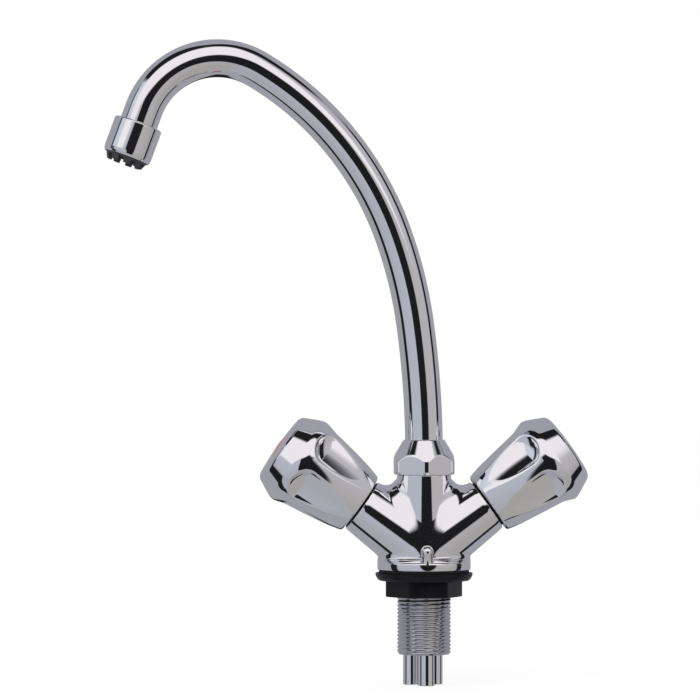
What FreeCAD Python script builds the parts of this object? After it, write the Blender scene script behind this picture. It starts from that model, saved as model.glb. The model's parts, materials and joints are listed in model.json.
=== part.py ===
"""Two handle kitchen faucet, low-pressure kind with three tails, as an assembly of separate pieces.

Frame: +Z up, origin at the centre of the body's underside, which rests on the sink deck. The cold
handle is on the +X side and the hot handle on the -X side. The user stands on the -Y side.
Millimetres throughout. "Along the arm" means the distance from the point where both arm axes
cross the vertical axis.
"""
import FreeCAD, Part
import Sketcher
import math
import os
import re

from FreeCAD import Placement, Rotation, Vector

# Driving dimensions. Each one is a cell of the sheet with the same name.
SIZES = {
    # body
    "base_radius": 22.5,
    "base_rim_height": 3.7,
    "ledge_radius": 16.17,
    "ledge_height": 5.6,
    "shoulder_radius": 16.66,
    "cone_bottom": 15.45,
    "cone_radius": 15.6,
    "neck_radius": 13.0,
    "neck_shoulder": 45.9,
    "neck_thread_radius": 12.0,
    "neck_top": 49.8,
    "neck_bore": 9.5,
    "neck_bore_bottom": 32.0,
    "mixing_radius": 7.0,
    "mixing_bottom": 24.0,
    "neck_blend": 5.0,
    "base_edge": 0.7,
    # arms, measured along the arm from the crossing point
    "arm_angle": 35.5,
    "arm_height": 9.6,
    "arm_start": 1.46,
    "arm_root_radius": 16.47,
    "arm_taper": 35.5,
    "arm_taper_radius": 13.48,
    "arm_end_radius": 12.7,
    "arm_end": 40.2,
    # the oval column under the arms
    "foot_reach": 22.3,
    "foot_depth": 16.0,
    # valve socket in each arm
    "socket_radius": 10.0,
    "socket_bottom": 22.0,
    "seat_bore": 4.5,
    "seat_bore_bottom": 14.0,
    "seat_lip_radius": 6.0,
    "seat_lip_height": 0.8,
    # water ways drilled in the body
    "gallery_radius": 3.2,
    "gallery_height": 17.0,
    "gallery_offset": 3.5,
    "gallery_half_length": 13.0,
    "drill_radius": 2.5,
    "outlet_height": 32.5,
    "hot_way_offset": 8.5,
    # threaded shank
    "shank_radius": 13.22,
    "shank_bore": 11.1,
    "shank_depth": 40.8,
    "shank_socket": 8.0,
    "thread_pitch": 1.814,
    "thread_depth": 1.16,
    "thread_start": 1.6,
    # washer and nut under the base
    "washer_bore": 13.6,
    "gasket_radius": 21.8,
    "gasket_thickness": 1.5,
    "flange_radius": 23.5,
    "flange_waist": 21.7,
    "flange_bottom": 5.2,
    "nut_bottom": 13.2,
    "nut_across_flats": 32.5,
    "nut_corner_radius": 18.75,
    "nut_edge": 0.6,
    # supply tails
    "tail_circle": 6.5,
    "tail_radius": 4.0,
    "tail_bore": 3.0,
    "tail_depth": 55.6,
    "tail_collar": 4.4,
    "tail_collar_bottom": 4.0,
    "tail_collar_top": 13.0,
    "tail_seal_height": 10.5,
    "tail_seal_wire": 0.6,
    # chain stay on the ledge
    "stay_offset": 19.4,
    "stay_radius": 2.8,
    "stay_ball": 3.1,
    "stay_ball_height": 9.3,
    "stay_foot": 3.0,
    "stay_spot_face": 4.2,
    # spout nut
    "spout_nut_corner": 15.7,
    "spout_nut_flats": 28.3,
    "spout_nut_shoulder": 53.4,
    "spout_nut_top": 62.7,
    "spout_nut_top_radius": 9.9,
    "spout_nut_bore": 12.1,
    "spout_nut_seat": 54.3,
    "spout_nut_eye": 9.4,
    # spout foot, slip ring and seals
    "foot_radius": 9.45,
    "foot_bottom": 33.0,
    "foot_bore": 6.5,
    "foot_collar_radius": 11.2,
    "foot_collar_bottom": 50.0,
    "foot_collar_top": 52.5,
    "foot_spigot": 8.05,
    "foot_spigot_top": 58.0,
    "foot_groove": 8.0,
    "foot_groove_height": 1.6,
    "lower_seal_height": 36.0,
    "upper_seal_height": 44.0,
    "seal_wire": 0.7,
    "slip_ring_gap": 0.1,
    # spout tube: the arcs follow each other tangentially
    "spout_radius": 9.1,
    "spout_wall": 1.0,
    "spout_straight": 56.0,
    "spout_arc_one": 452.0,
    "spout_turn_one": 8.0,
    "spout_arc_two": 208.0,
    "spout_turn_two": 12.5,
    "spout_arc_three": 151.3,
    "spout_turn_three": 39.3,
    "spout_arc_four": 38.1,
    "spout_turn_four": 99.9,
    "spout_end_run": 13.2,
    "spout_swing": 6.0,
    # aerator, measured along its own axis from the housing's upper edge
    "aerator_radius": 11.7,
    "aerator_length": 17.2,
    "aerator_mouth": 10.9,
    "aerator_edge": 0.8,
    "aerator_eye": 9.15,
    "aerator_step": 6.0,
    "aerator_bore": 10.4,
    "aerator_seal": 7.5,
    "aerator_screen": 8.4,
    "insert_radius": 10.3,
    "insert_tip": 8.7,
    "insert_length": 20.4,
    "insert_bore": 7.4,
    "insert_floor": 10.4,
    "insert_hole": 1.0,
    "insert_hole_circle": 4.6,
    "notch_width": 2.6,
    "notch_depth": 2.4,
    # handle, measured along the arm
    "handle_rim": 38.2,
    "handle_rim_radius": 14.5,
    "handle_edge": 1.0,
    "handle_start_radius": 15.7,
    "handle_middle": 55.2,
    "handle_middle_radius": 19.93,
    "handle_band": 70.7,
    "handle_band_radius": 22.5,
    "handle_widest": 75.1,
    "handle_widest_radius": 22.65,
    "handle_crown": 84.4,
    "handle_crown_radius": 18.1,
    "handle_dome": 86.15,
    "handle_dome_radius": 13.0,
    "handle_top": 86.6,
    "handle_mouth": 13.9,
    "handle_mouth_depth": 43.6,
    "handle_cavity": 12.5,
    "handle_cavity_depth": 58.0,
    "handle_socket": 7.1,
    "handle_socket_depth": 66.9,
    "handle_screw_hole": 2.2,
    "handle_web": 69.0,
    "handle_well": 4.5,
    "index_seat": 84.4,
    "index_radius": 6.5,
    "index_dome": 0.6,
    "index_edge": 0.2,
    # headwork, spindle and jumper, measured along the arm
    "headwork_bottom": 28.0,
    "headwork_radius": 9.9,
    "headwork_skirt": 8.0,
    "headwork_skirt_top": 31.2,
    "hex_bore_flats": 12.2,
    "hex_bore_top": 40.5,
    "headwork_seat": 41.0,
    "headwork_flange_radius": 12.0,
    "headwork_flange_top": 43.0,
    "headwork_flats": 19.0,
    "headwork_hex_top": 47.5,
    "headwork_neck": 7.0,
    "headwork_top": 56.0,
    "spindle_bore": 4.05,
    "spindle_radius": 4.0,
    "spindle_stem": 3.0,
    "spindle_stem_end": 31.6,
    "spindle_collar": 5.8,
    "spindle_collar_bottom": 38.6,
    "spindle_collar_top": 40.4,
    "spindle_groove": 3.0,
    "spindle_groove_bottom": 49.0,
    "spindle_groove_width": 1.6,
    "circlip_bottom": 56.3,
    "circlip_top": 57.3,
    "circlip_groove": 3.4,
    "circlip_radius": 6.0,
    "spline_start": 58.0,
    "spindle_end": 66.0,
    "spline_depth": 0.4,
    "spindle_tap": 1.75,
    "spindle_tap_bottom": 55.0,
    "jumper_bottom": 25.0,
    "jumper_disc_top": 26.5,
    "jumper_disc": 7.4,
    "jumper_flats": 12.0,
    "jumper_top": 34.5,
    "jumper_bore": 3.06,
    "jumper_bore_bottom": 27.7,
    "jumper_tap": 1.6,
    "seat_washer_bottom": 22.82,
    "seat_washer_radius": 6.8,
    "washer_screw_head": 3.2,
    "washer_screw_head_height": 1.5,
    "washer_screw_radius": 1.5,
    "handle_screw_radius": 1.65,
    "handle_screw_head": 3.6,
    "handle_screw_head_height": 2.4,
    "handle_screw_length": 11.0,
    # finger scoops of a handle: distances from the rim and heights above the handle's axis
    "scoop_floor": 15.5,
    "scoop_slope": 0.6,
}

TAIL_ANGLES = {"mains_inlet_tail": -84.6, "heater_return_tail": 35.4, "heater_feed_tail": 155.4}
SIDES = {"cold": 1, "hot": -1}
THREAD_TURNS = 21
NOTCHES = 9
OUTLET_HOLES = 6
SCOOPS = 6
SPLINES = 20
HANDLE_TURNS = {"cold": -4.1, "hot": 5.4}
BACK_NUT_TURN = -27.2

DOC = FreeCAD.newDocument("kitchen_faucet")
SHEET = DOC.addObject("Spreadsheet::Sheet", "Sizes")


def fill_sheet():
    """Write every driving dimension to the sheet, its name beside it."""
    for row, (name, size) in enumerate(SIZES.items(), start=1):
        SHEET.set(f"A{row}", name)
        SHEET.set(f"B{row}", str(size))
        SHEET.setAlias(f"B{row}", name)
    DOC.recompute()


def size(term):
    """The value of one term: a number, or an alias, or an alias times or over a number."""
    term = term.strip()
    if " * " in term:
        name, factor = term.split(" * ")
        return size(name) * float(factor)
    if " / " in term:
        name, divisor = term.split(" / ")
        return size(name) / float(divisor)
    return SIZES[term] if term in SIZES else float(term)


def value(formula):
    """The value of a sum of terms, such as "neck_top - seal_wire * 2"."""
    if not isinstance(formula, str):
        return float(formula)
    parts = re.split(r" (?=[+-] )", formula)
    total = size(parts[0].lstrip("-")) * (-1 if parts[0].startswith("-") else 1)
    for part in parts[1:]:
        total += size(part[2:]) if part[0] == "+" else -size(part[2:])
    return total


def bound(formula):
    """The same sum as an expression on the sheet's cells."""
    return re.sub(r"\b([a-z][a-z_]*)\b", r"Sizes.\1", formula)


def bind(target, prop, formula):
    """Set a property from a formula, and keep it bound to the sheet."""
    if isinstance(formula, str):
        target.setExpression(prop, bound(formula))
    else:
        setattr(target, prop, formula)


# ---------------------------------------------------------------- sketches and bodies


def new_body(label):
    body = DOC.addObject("PartDesign::Body", label)
    body.Label = label
    return body


def new_sketch(body, name, role="XZ_Plane", height=None):
    """A sketch on one of the body's own origin planes, lifted by height along the plane's normal."""
    plane = next(f for f in body.Origin.OriginFeatures if f.Role == role)
    sketch = body.newObject("Sketcher::SketchObject", name)
    sketch.AttachmentSupport = (plane, [""])
    sketch.MapMode = "FlatFace"
    if height is not None:
        sketch.AttachmentOffset = Placement(Vector(0, 0, value(height)), Rotation())
        sketch.setExpression("AttachmentOffset.Base.z", bound(height))
    return sketch


def pin_point(sketch, edge, end, x, y):
    """Fix one end of an edge at (x, y), each a number or a formula."""
    for kind, formula, axis in (("DistanceX", x, -2), ("DistanceY", y, -1)):
        if formula == 0:
            sketch.addConstraint(Sketcher.Constraint("PointOnObject", edge, end, axis))
            continue
        index = sketch.addConstraint(Sketcher.Constraint(kind, -1, 1, edge, end, value(formula)))
        if isinstance(formula, str):
            sketch.setExpression(f"Constraints[{index}]", bound(formula))


def outline(sketch, points):
    """A closed outline of straight lines through points, each (x, y) given as numbers or formulas."""
    spots = [Vector(value(x), value(y), 0) for x, y in points]
    first = sketch.GeometryCount
    count = len(points)
    for i, spot in enumerate(spots):
        sketch.addGeometry(Part.LineSegment(spot, spots[(i + 1) % count]), False)
    for i in range(count):
        following = first + (i + 1) % count
        sketch.addConstraint(Sketcher.Constraint("Coincident", first + i, 2, following, 1))
    for i, (x, y) in enumerate(points):
        pin_point(sketch, first + i, 1, x, y)


def circle(sketch, radius, x=0, y=0):
    """A circle of a bound radius about (x, y)."""
    centre = Vector(value(x), value(y), 0)
    edge = sketch.addGeometry(Part.Circle(centre, Vector(0, 0, 1), value(radius)), False)
    pin_point(sketch, edge, 3, x, y)
    index = sketch.addConstraint(Sketcher.Constraint("Radius", edge, value(radius)))
    if isinstance(radius, str):
        sketch.setExpression(f"Constraints[{index}]", bound(radius))


def regular(sketch, sides, across_flats, turn=0.0):
    """A regular polygon with a bound distance across its flats, turned by turn degrees."""
    corner = value(across_flats) / 2 / math.cos(math.pi / sides)
    spots = []
    for i in range(sides):
        angle = math.radians(turn) + 2 * math.pi * (i + 0.5) / sides
        spots.append(Vector(corner * math.cos(angle), corner * math.sin(angle), 0))
    first = sketch.GeometryCount
    for i in range(sides):
        sketch.addGeometry(Part.LineSegment(spots[i], spots[(i + 1) % sides]), False)
    for i in range(sides):
        following = first + (i + 1) % sides
        sketch.addConstraint(Sketcher.Constraint("Coincident", first + i, 2, following, 1))
    rim = sketch.addGeometry(Part.Circle(Vector(), Vector(0, 0, 1), corner), True)
    sketch.addConstraint(Sketcher.Constraint("Coincident", rim, 3, -1, 1))
    index = sketch.addConstraint(Sketcher.Constraint("Radius", rim, corner))
    spread = 2 * math.cos(math.pi / sides)
    sketch.setExpression(f"Constraints[{index}]", f"{bound(across_flats)} / {spread:.9f}")
    for i in range(sides):
        sketch.addConstraint(Sketcher.Constraint("PointOnObject", first + i, 1, rim))
    for i in range(1, sides):
        sketch.addConstraint(Sketcher.Constraint("Equal", first, first + i))
    lean = math.degrees(math.atan2(spots[0].y, spots[0].x))
    ray = sketch.addGeometry(Part.LineSegment(Vector(), spots[0]), True)
    sketch.addConstraint(Sketcher.Constraint("Coincident", ray, 1, -1, 1))
    sketch.addConstraint(Sketcher.Constraint("Coincident", ray, 2, first, 1))
    sketch.addConstraint(Sketcher.Constraint("Angle", -1, 1, ray, 1, math.radians(lean)))


def turned(body, name, points, cut=False):
    """A solid turned about the body's Z axis from an outline of (radius, height), added or cut."""
    sketch = new_sketch(body, f"{name}_profile")
    outline(sketch, points)
    kind = "Groove" if cut else "Revolution"
    feature = body.newObject(f"PartDesign::{kind}", name)
    feature.Profile = sketch
    feature.ReferenceAxis = (sketch, ["V_Axis"])
    feature.Angle = 360
    return feature


def arc_profile(body, name, points, arcs):
    """Turn a closed outline whose edge i bulges through arcs[i] instead of running straight."""
    sketch = new_sketch(body, f"{name}_profile")
    spots = [Vector(value(x), value(y), 0) for x, y in points]
    count = len(spots)
    for i, spot in enumerate(spots):
        following = spots[(i + 1) % count]
        if i in arcs:
            middle = Vector(value(arcs[i][0]), value(arcs[i][1]), 0)
            sketch.addGeometry(Part.Arc(spot, middle, following), False)
        else:
            sketch.addGeometry(Part.LineSegment(spot, following), False)
    starts = {}
    for i in range(count):
        x, y = points[i]
        geometry = sketch.Geometry[i]
        flipped = i in arcs and geometry.StartPoint.distanceToPoint(spots[i]) > 1e-6
        starts[i] = (2, 1) if flipped else (1, 2)
        pin_point(sketch, i, starts[i][0], x, y)
    for i in range(count):
        following = (i + 1) % count
        sketch.addConstraint(
            Sketcher.Constraint("Coincident", i, starts[i][1], following, starts[following][0]))
    feature = body.newObject("PartDesign::Revolution", name)
    feature.Profile = sketch
    feature.ReferenceAxis = (sketch, ["V_Axis"])
    feature.Angle = 360
    return feature


def prism_cut(body, name, sketch, upward=True):
    """A cut of a sketch's area through everything above it, or below it."""
    pocket = body.newObject("PartDesign::Pocket", name)
    pocket.Profile = sketch
    pocket.Type = 1
    pocket.Reversed = upward
    return pocket


def flats(body, name, sides, across_flats, bottom, beyond, turn=0.0, height=None):
    """Cut flats on a turned piece: everything between the polygon and the beyond radius goes."""
    sketch = new_sketch(body, f"{name}_outline", "XY_Plane", bottom)
    regular(sketch, sides, across_flats, turn)
    circle(sketch, beyond)
    pocket = prism_cut(body, name, sketch)
    if height is not None:
        pocket.Type = 0
        bind(pocket, "Length", height)
    return pocket


def polar(body, name, feature, count):
    """Repeat a feature about the body's Z axis."""
    pattern = body.newObject("PartDesign::PolarPattern", name)
    pattern.Originals = [feature]
    axis = next(f for f in body.Origin.OriginFeatures if f.Role == "Z_Axis")
    pattern.Axis = (axis, [""])
    pattern.Angle = 360
    pattern.Occurrences = count
    body.Tip = pattern
    return pattern


def ring(label, inner, outer, bottom, top):
    """A plain flat ring."""
    body = new_body(label)
    corners = [(inner, bottom), (outer, bottom), (outer, top), (inner, top)]
    turned(body, f"{label}_ring", corners)
    return body


def drill(body, name, start, end, radius):
    """A round water way drilled from start to end, both points in the body's own frame."""
    start = Vector(*(value(v) for v in start))
    end = Vector(*(value(v) for v in end))
    hole = body.newObject("PartDesign::SubtractiveCylinder", name)
    plane = next(f for f in body.Origin.OriginFeatures if f.Role == "XY_Plane")
    hole.AttachmentSupport = (plane, [""])
    hole.MapMode = "FlatFace"
    hole.AttachmentOffset = Placement(start, Rotation(Vector(0, 0, 1), end - start))
    bind(hole, "Radius", radius)
    hole.Height = (end - start).Length
    return hole


def seal(label, spots):
    """O-rings as one node: each spot is (centre radius, wire radius, height, x, y)."""
    rings = []
    for number, (centre_radius, wire, height, x, y) in enumerate(spots, start=1):
        torus = DOC.addObject("Part::Torus", f"{label}_{number}")
        bind(torus, "Radius1", centre_radius)
        bind(torus, "Radius2", wire)
        torus.Placement = Placement(Vector(x, y, value(height)), Rotation())
        rings.append(torus)
    if len(rings) == 1:
        rings[0].Label = label
        return rings[0]
    group = DOC.addObject("Part::Compound", label)
    group.Links = rings
    group.Label = label
    return group


# ---------------------------------------------------------------- places


def arm_place(side):
    """The frame of one arm: its Z axis runs outwards along the arm, its Y axis stays level."""
    tilt = 90 - value("arm_angle")
    return Placement(Vector(0, 0, value("arm_height")), Rotation(Vector(0, 1, 0), side * tilt))


def arm_point(side, along, across):
    """A point in the plane of the arms, across being measured upwards from the arm's axis."""
    lean = math.radians(value("arm_angle"))
    x = side * (along * math.cos(lean) - across * math.sin(lean))
    return x, value("arm_height") + along * math.sin(lean) + across * math.cos(lean)


def tail_spot(name):
    """Where a supply tail's axis crosses the deck."""
    angle = math.radians(TAIL_ANGLES[name])
    reach = value("tail_circle")
    return reach * math.cos(angle), reach * math.sin(angle)


# ---------------------------------------------------------------- the body


def arm_solid(body, name, side, points, cut=False):
    """A piece of an arm, turned about the arm's axis from an outline of (along, radius)."""
    sketch = new_sketch(body, f"{name}_profile")
    lean = value("arm_angle") if side > 0 else 180 - value("arm_angle")
    place = Placement(Vector(0, value("arm_height"), 0), Rotation(Vector(0, 0, 1), lean))
    sketch.AttachmentOffset = place
    sketch.setExpression("AttachmentOffset.Base.y", bound("arm_height"))
    outline(sketch, points)
    kind = "Groove" if cut else "Revolution"
    feature = body.newObject(f"PartDesign::{kind}", name)
    feature.Profile = sketch
    feature.ReferenceAxis = (sketch, ["H_Axis"])
    feature.Angle = 360
    return feature


def body_shell(body):
    """Base disc with its sloping ledge, the round shoulder and conical neck, and both arms."""
    arm_feet(body)
    lean = math.radians(3)
    shoulder = (value("shoulder_radius") * math.cos(lean),
                value("arm_height") + value("shoulder_radius") * math.sin(lean))
    edge = value("base_edge") * (1 - math.sqrt(0.5))
    corner = (value("base_radius") - edge, value("base_rim_height") - edge)
    arc_profile(body, "core", [
        (0, 0), ("base_radius", 0), ("base_radius", "base_rim_height - base_edge"),
        ("base_radius - base_edge", "base_rim_height"), ("ledge_radius", "ledge_height"),
        ("cone_radius", "cone_bottom"), ("neck_radius", "neck_shoulder"),
        ("neck_thread_radius", "neck_shoulder"), ("neck_thread_radius", "neck_top"),
        (0, "neck_top"),
    ], {2: corner, 4: shoulder})
    for word, side in SIDES.items():
        arm_solid(body, f"{word}_arm", side, [
            ("arm_start", 0), ("arm_end", 0), ("arm_end", "arm_end_radius"),
            ("arm_taper", "arm_taper_radius"), ("arm_start", "arm_root_radius"),
        ])
    turned(body, "underside", [
        (0, 0), (0, "-base_radius"), ("base_radius * 2", "-base_radius"), ("base_radius * 2", 0),
    ], cut=True)


def arm_feet(body):
    """Below the arms the casting comes straight down to the base as an oval column."""
    sketch = new_sketch(body, "feet_outline", "XY_Plane")
    reach, depth = value("foot_reach"), value("foot_depth")
    oval = sketch.addGeometry(
        Part.Ellipse(Vector(reach, 0, 0), Vector(0, depth, 0), Vector()), False)
    sketch.exposeInternalGeometry(oval)
    long_axis, short_axis = oval + 1, oval + 2
    sketch.addConstraint(Sketcher.Constraint("Coincident", oval, 3, -1, 1))
    sketch.addConstraint(Sketcher.Constraint("Horizontal", long_axis))
    for axis, term in ((long_axis, "foot_reach"), (short_axis, "foot_depth")):
        index = sketch.addConstraint(Sketcher.Constraint("Distance", axis, 2 * value(term)))
        sketch.setExpression(f"Constraints[{index}]", bound(f"{term} * 2"))
    feet = body.newObject("PartDesign::Pad", "feet")
    feet.Profile = sketch
    bind(feet, "Length", "neck_shoulder")
    above = new_sketch(body, "feet_top_outline")
    far = value("base_radius") + 1
    rise = value("arm_height") + far * math.tan(math.radians(value("arm_angle")))
    outline(above, [
        (0, "arm_height"), (far, rise), (far, "neck_top"), (-far, "neck_top"), (-far, rise),
    ])
    top = body.newObject("PartDesign::Pocket", "feet_top")
    top.Profile = above
    top.Midplane = True
    bind(top, "Length", "base_radius * 2")


def is_blend_edge(edge):
    """Is this an inside corner, between an arm and the neck or between the two arms?"""
    box = edge.BoundBox
    above_shoulder = box.ZMin > value("arm_height") + 0.5
    below_nut = box.ZMax < value("neck_shoulder") - 1
    beside_neck = max(box.XMax, -box.XMin) < value("cone_radius") + 1
    straight_seam = max(box.YMax, -box.YMin) < 0.01
    return above_shoulder and below_nut and beside_neck and not straight_seam


def blend(body):
    """Round the inside corners between neck and arms, as the casting has them."""
    DOC.recompute()
    tip = body.Tip
    names = [f"Edge{i}" for i, e in enumerate(tip.Shape.Edges, start=1) if is_blend_edge(e)]
    fillet = body.newObject("PartDesign::Fillet", "neck_fillet")
    fillet.Base = (tip, names)
    bind(fillet, "Radius", "neck_blend")
    return fillet


def body_hollows(body):
    """Valve sockets and seats, the neck bore, the shank's socket and the water ways."""
    for word, side in SIDES.items():
        arm_solid(body, f"{word}_socket", side, [
            ("socket_bottom", "seat_lip_radius"),
            ("socket_bottom + seat_lip_height", "seat_lip_radius"),
            ("socket_bottom + seat_lip_height", 0),
            ("arm_end + 1", 0),
            ("arm_end + 1", "socket_radius"),
            ("socket_bottom", "socket_radius"),
        ], cut=True)
        arm_solid(body, f"{word}_seat_bore", side, [
            ("seat_bore_bottom", 0), ("socket_bottom + seat_lip_height", 0),
            ("socket_bottom + seat_lip_height", "seat_bore"), ("seat_bore_bottom", "seat_bore"),
        ], cut=True)
    turned(body, "neck_hollow", [
        (0, "mixing_bottom"), ("mixing_radius", "mixing_bottom"),
        ("mixing_radius", "neck_bore_bottom"), ("neck_bore", "neck_bore_bottom"),
        ("neck_bore", "neck_top + 1"), (0, "neck_top + 1"),
    ], cut=True)
    turned(body, "shank_counterbore", [
        (0, -1), ("shank_radius + 0.05", -1), ("shank_radius + 0.05", "shank_socket"),
        (0, "shank_socket"),
    ], cut=True)
    for name in TAIL_ANGLES:
        x, y = tail_spot(name)
        drill(body, f"{name}_socket", (x, y, "shank_socket - 1"), (x, y, "tail_collar_top"),
              "tail_collar + 0.05")
    front = -value("stay_offset")
    drill(body, "stay_socket", (0, front, "stay_foot"), (0, front, "stay_ball_height"),
          "stay_radius")
    drill(body, "stay_face", (0, front, "stay_spot_face"), (0, front, "cone_bottom + 3"),
          "stay_ball + 0.15")
    water_ways(body)


def water_ways(body):
    """Mains to both seats, cold valve to spout, hot valve to heater, heater to spout."""
    reach = value("gallery_half_length")
    offset = -value("gallery_offset")
    level = "gallery_height"
    drill(body, "mains_gallery", (-reach, offset, level), (reach, offset, level), "gallery_radius")
    x, y = tail_spot("mains_inlet_tail")
    drill(body, "mains_riser", (x, y, "tail_collar_top - 1"), (x, y, level), "drill_radius")
    x, y = tail_spot("heater_return_tail")
    top = "mixing_bottom + 1"
    drill(body, "return_riser", (x, y, "tail_collar_top - 1"), (x, y, top), "drill_radius")
    outlet = "outlet_height"
    drill(body, "cold_outlet", (0, 0, outlet), (17, 0, outlet), "drill_radius")
    x, y = tail_spot("heater_feed_tail")
    turn_level = value("tail_collar_top") + 2
    chamber_x, chamber_z = arm_point(-1, value("socket_bottom") + 3.5, 0)
    aside = value("hot_way_offset")
    drill(body, "feed_riser", (x, y, "tail_collar_top - 1"), (x, y, turn_level), "drill_radius")
    drill(body, "feed_cross", (x, y - 1, turn_level), (x, aside, turn_level), "drill_radius")
    drill(body, "feed_rise", (x, aside, turn_level), (chamber_x, aside, chamber_z), "drill_radius")


def make_body():
    body = new_body("body")
    body_shell(body)
    blend(body)
    body_hollows(body)
    return body


# ---------------------------------------------------------------- under the deck


def make_shank():
    """Hollow stud with a pipe thread cut as rings, up to just under the base."""
    body = new_body("threaded_shank")
    turned(body, "stud", [
        ("shank_bore", "-shank_depth"), ("shank_radius", "-shank_depth"),
        ("shank_radius", "shank_socket"), ("shank_bore", "shank_socket"),
    ])
    bottom = f"-shank_depth + {value('thread_start') - value('thread_pitch'):.3f}"
    groove = turned(body, "thread_groove", [
        ("shank_radius - thread_depth", f"{bottom} + thread_pitch / 2"),
        ("shank_radius + 0.2", f"{bottom} + thread_pitch * 0.05"),
        ("shank_radius + 0.2", f"{bottom} + thread_pitch * 0.95"),
    ], cut=True)
    rows = body.newObject("PartDesign::LinearPattern", "thread")
    rows.Originals = [groove]
    axis = next(f for f in body.Origin.OriginFeatures if f.Role == "Z_Axis")
    rows.Direction = (axis, [""])
    rows.Length = THREAD_TURNS * value("thread_pitch")
    rows.setExpression("Length", bound(f"thread_pitch * {THREAD_TURNS}"))
    rows.Occurrences = THREAD_TURNS + 1
    body.Tip = rows
    return body


def make_flange_washer():
    """Dished washer: a thin brim that bends down to a thicker waist."""
    body = new_body("flange_washer")
    turned(body, "dish", [
        ("washer_bore", "-flange_bottom"), ("flange_waist", "-flange_bottom"),
        ("flange_radius - 0.7", "-flange_bottom + 1.2"), ("flange_radius", "-flange_bottom + 2.8"),
        ("flange_radius", "-gasket_thickness"), ("washer_bore", "-gasket_thickness"),
    ])
    return body


def make_back_nut():
    body = new_body("back_nut")
    turned(body, "nut_blank", [
        ("shank_radius + 0.1", "-nut_bottom"), ("nut_corner_radius - nut_edge", "-nut_bottom"),
        ("nut_corner_radius", "-nut_bottom + nut_edge"), ("nut_corner_radius", "-flange_bottom"),
        ("shank_radius + 0.1", "-flange_bottom"),
    ])
    flats(body, "wrench_flats", 6, "nut_across_flats", "-nut_bottom - 1", "nut_corner_radius + 5",
          BACK_NUT_TURN)
    return body


def make_tail(name):
    """A supply tail with its collar, which is held in the body."""
    body = new_body(name)
    turned(body, f"{name}_tube", [
        ("tail_bore", "-tail_depth"), ("tail_radius", "-tail_depth"),
        ("tail_radius", "tail_collar_bottom"), ("tail_collar", "tail_collar_bottom"),
        ("tail_collar", "tail_seal_height - tail_seal_wire"),
        ("tail_collar - tail_seal_wire * 2", "tail_seal_height - tail_seal_wire"),
        ("tail_collar - tail_seal_wire * 2", "tail_seal_height + tail_seal_wire"),
        ("tail_collar", "tail_seal_height + tail_seal_wire"),
        ("tail_collar", "tail_collar_top"), ("tail_bore", "tail_collar_top"),
    ])
    x, y = tail_spot(name)
    body.Placement = Placement(Vector(x, y, 0), Rotation())
    return body


def make_tail_seals():
    spots = []
    for name in TAIL_ANGLES:
        x, y = tail_spot(name)
        spots.append(("tail_collar - tail_seal_wire", "tail_seal_wire", "tail_seal_height", x, y))
    return seal("tail_o_rings", spots)


def make_chain_stay():
    """Ball-headed post on the front of the ledge."""
    body = new_body("chain_stay")
    sketch = new_sketch(body, "stay_profile")
    rise = math.sqrt(value("stay_ball") ** 2 - value("stay_radius") ** 2)
    joint = value("stay_ball_height") - rise
    top = value("stay_ball_height") + value("stay_ball")
    foot = value("stay_foot")
    post = [Vector(0, foot, 0), Vector(value("stay_radius"), foot, 0),
            Vector(value("stay_radius"), joint, 0)]
    sketch.addGeometry(Part.LineSegment(post[0], post[1]), False)
    sketch.addGeometry(Part.LineSegment(post[1], post[2]), False)
    ball = Part.Circle(Vector(0, value("stay_ball_height"), 0), Vector(0, 0, 1), value("stay_ball"))
    start = math.atan2(-rise, value("stay_radius"))
    sketch.addGeometry(Part.ArcOfCircle(ball, start, math.pi / 2), False)
    sketch.addGeometry(Part.LineSegment(Vector(0, top, 0), post[0]), False)
    for edge, end, other, other_end in ((0, 2, 1, 1), (1, 2, 2, 1), (2, 2, 3, 1), (3, 2, 0, 1)):
        sketch.addConstraint(Sketcher.Constraint("Coincident", edge, end, other, other_end))
    pin_point(sketch, 0, 1, 0, "stay_foot")
    pin_point(sketch, 1, 1, "stay_radius", "stay_foot")
    pin_point(sketch, 2, 3, 0, "stay_ball_height")
    sketch.addConstraint(Sketcher.Constraint("PointOnObject", 3, 1, -2))
    sketch.addConstraint(Sketcher.Constraint("Vertical", 1))
    index = sketch.addConstraint(Sketcher.Constraint("Radius", 2, value("stay_ball")))
    sketch.setExpression(f"Constraints[{index}]", bound("stay_ball"))
    post_solid = body.newObject("PartDesign::Revolution", "post")
    post_solid.Profile = sketch
    post_solid.ReferenceAxis = (sketch, ["V_Axis"])
    post_solid.Angle = 360
    body.Placement = Placement(Vector(0, -value("stay_offset"), 0), Rotation())
    return body


# ---------------------------------------------------------------- spout


def make_spout_nut():
    """Hexagonal cap nut with a conical top, screwed on the neck."""
    body = new_body("spout_nut")
    turned(body, "cap", [
        ("spout_nut_bore", "neck_shoulder"), ("spout_nut_corner - 0.6", "neck_shoulder"),
        ("spout_nut_corner", "neck_shoulder + 0.6"), ("spout_nut_corner", "spout_nut_shoulder"),
        ("spout_nut_top_radius", "spout_nut_top"), ("spout_nut_eye", "spout_nut_top"),
        ("spout_nut_eye", "spout_nut_seat"), ("spout_nut_bore", "spout_nut_seat"),
    ])
    flats(body, "hexagon", 6, "spout_nut_flats", "neck_shoulder - 1", "spout_nut_corner + 5")
    return body


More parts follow.
